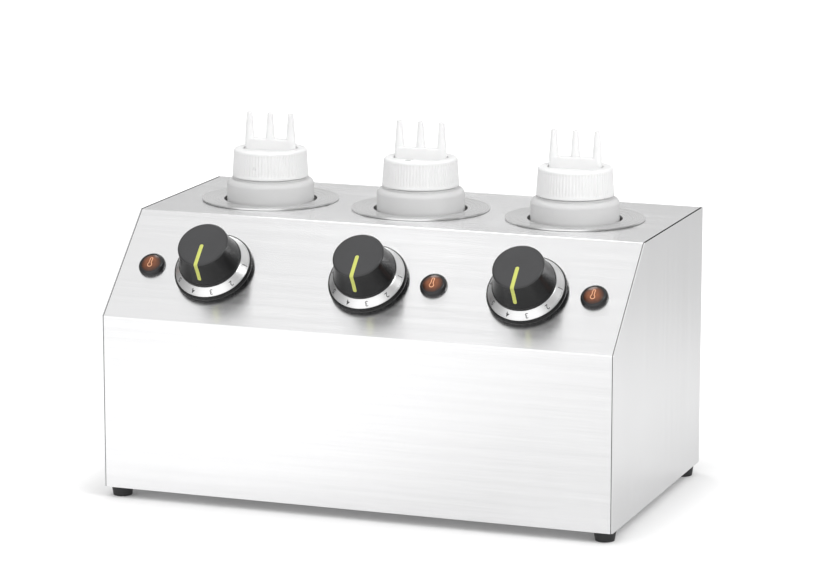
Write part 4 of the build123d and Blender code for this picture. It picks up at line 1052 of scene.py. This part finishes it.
def make_world():
    """White to the camera, 0.85 as light, and graded by direction where it is mirrored."""
    world = bpy.data.worlds.new("white_sweep")
    bpy.context.scene.world = world
    world.use_nodes = True
    tree = world.node_tree
    background = tree.nodes["Background"]
    background.inputs["Color"].default_value = (1.0, 1.0, 1.0, 1.0)
    parts = tree.nodes.new("ShaderNodeSeparateXYZ")
    tree.links.new(tree.nodes.new("ShaderNodeTexCoord").outputs["Generated"], parts.inputs[0])
    to_front = fade(tree, parts.outputs["Y"], -1.0, -0.6, 0.35, 0.0)
    to_back = fade(tree, parts.outputs["Y"], -0.9, 1.0, 1.0, 0.645)
    to_side = fade(tree, value_of(tree, "ABSOLUTE", parts.outputs["X"]), 0.42, 0.82, 1.0, 0.42)
    seen, mirrored = rays(tree)
    reflected = product(tree, mirrored, product(tree, to_back, to_side))
    reflected = value_of(tree, "MULTIPLY_ADD", mirrored, to_front, reflected)
    lit = value_of(tree, "MULTIPLY_ADD", seen, 0.15, 0.85)
    plain = value_of(tree, "SUBTRACT", 1.0, mirrored)
    tree.links.new(value_of(tree, "MULTIPLY_ADD", plain, lit, reflected), background.inputs["Strength"])


def make_floor():
    """Takes the shadow; what is mirrored is graded by place, and the camera sees white further out."""
    corners = [(x * FLOOR_REACH, y * FLOOR_REACH, 0.0) for x, y in ((-1, -1), (1, -1), (1, 1), (-1, 1))]
    mesh = bpy.data.meshes.new("floor")
    mesh.from_pydata(corners, [], [(0, 1, 2, 3)])
    put_in_scene("floor", mesh)
    material = bpy.data.materials.new("white_floor")
    material.use_nodes = True
    tree = material.node_tree
    tree.nodes.remove(tree.nodes["Principled BSDF"])
    diffuse = tree.nodes.new("ShaderNodeBsdfDiffuse")
    glow = tree.nodes.new("ShaderNodeEmission")
    place = tree.nodes.new("ShaderNodeSeparateXYZ")
    position = object_place(tree)
    tree.links.new(position, place.inputs[0])
    seen, mirrored = rays(tree)
    grey = value_of(tree, "MULTIPLY_ADD", mirrored, -0.36, 0.86)
    tree.links.new(grey, diffuse.inputs["Color"])
    to_back = fade(tree, place.outputs["Y"], 0.3, 0.9, 0.19, 0.0)
    to_left = product(tree, fade(tree, place.outputs["X"], -0.18, 0.10, 0.32, 0.0),
                      fade(tree, place.outputs["X"], -0.50, -0.75, 1.0, 0.0),
                      fade(tree, place.outputs["Y"], -0.30, -0.05, 1.0, 0.0))
    to_right = product(tree, fade(tree, place.outputs["X"], 0.15, 0.40, 0.0, 0.15),
                       fade(tree, place.outputs["Y"], -0.10, 0.15, 0.0, 1.0))
    around = value_of(tree, "ADD", to_back, value_of(tree, "ADD", to_left, to_right))
    reflected = value_of(tree, "MULTIPLY", mirrored, around)
    beside = vector_of(tree, "SUBTRACT", vector_of(tree, "ABSOLUTE", position), half_footprint)
    beside = vector_of(tree, "MAXIMUM", beside, (0.0, 0.0, 0.0))
    away = vector_of(tree, "LENGTH", beside, output="Value")
    outward = fade(tree, away, 0.0, shadow_reach, 0.02, 0.42)
    tree.links.new(value_of(tree, "MULTIPLY_ADD", seen, outward, reflected), glow.inputs["Strength"])
    both = tree.nodes.new("ShaderNodeAddShader")
    tree.links.new(diffuse.outputs[0], both.inputs[0])
    tree.links.new(glow.outputs[0], both.inputs[1])
    tree.links.new(both.outputs[0], tree.nodes["Material Output"].inputs["Surface"])
    mesh.materials.append(material)


def soft_light(name, place, target, size, watts, mirrored=False):
    """A square area light at `place`, aimed at `target`, both in metres."""
    data = bpy.data.lights.new(name, "AREA")
    data.shape = "SQUARE"
    data.size = size
    data.energy = watts
    light = put_in_scene(name, data)
    light.location = place
    light.rotation_euler = (Vector(target) - Vector(place)).to_track_quat("-Z", "Y").to_euler()
    light.visible_glossy = mirrored
    return light


make_world()
make_floor()
soft_light("key_light", (-0.3, -2.0, 2.4), (0.0, 0.0, 0.1), 1.8, 20.5)
soft_light("fill_light", (1.8, -1.0, 1.7), (0.0, 0.0, 0.1), 1.5, 16.0)
soft_light("side_soft_box", (1.0, -0.5, 1.65), (0.0, -0.09, 0.19), 0.45, 4.0, mirrored=True)
soft_light("rear_soft_box", (-0.42, 0.60, 1.45), (0.0, -0.05, 0.2), 0.5, 2.2, mirrored=True)

# %% [markdown]
# The camera is a long lens from the front right, a little above the bottles. Its angles, distance and
# aim were solved from the perspective of the casing's corners.

# %% Camera
azimuth, elevation = 0.350798, 0.202476
focal_pixels, frame_width = 3797.9, 826.0
aim = np.array([51.16, shell_low[1], 182.74 + casing_foot_z])
distance = 2951.7
camera_data = bpy.data.cameras.new("camera")
camera_data.sensor_width = 36.0
camera_data.lens = focal_pixels / frame_width * camera_data.sensor_width
camera_data.clip_end = 100.0
camera = put_in_scene("camera", camera_data)
backward = np.array([np.sin(azimuth) * np.cos(elevation), -np.cos(azimuth) * np.cos(elevation),
                     np.sin(elevation)])
camera.location = (aim + distance * backward) * MM
camera.rotation_euler = Vector(-backward).to_track_quat("-Z", "Y").to_euler()
bpy.context.scene.camera = camera
bpy.context.scene.view_settings.view_transform = "Standard"
print("camera at", [round(value, 3) for value in camera.location])
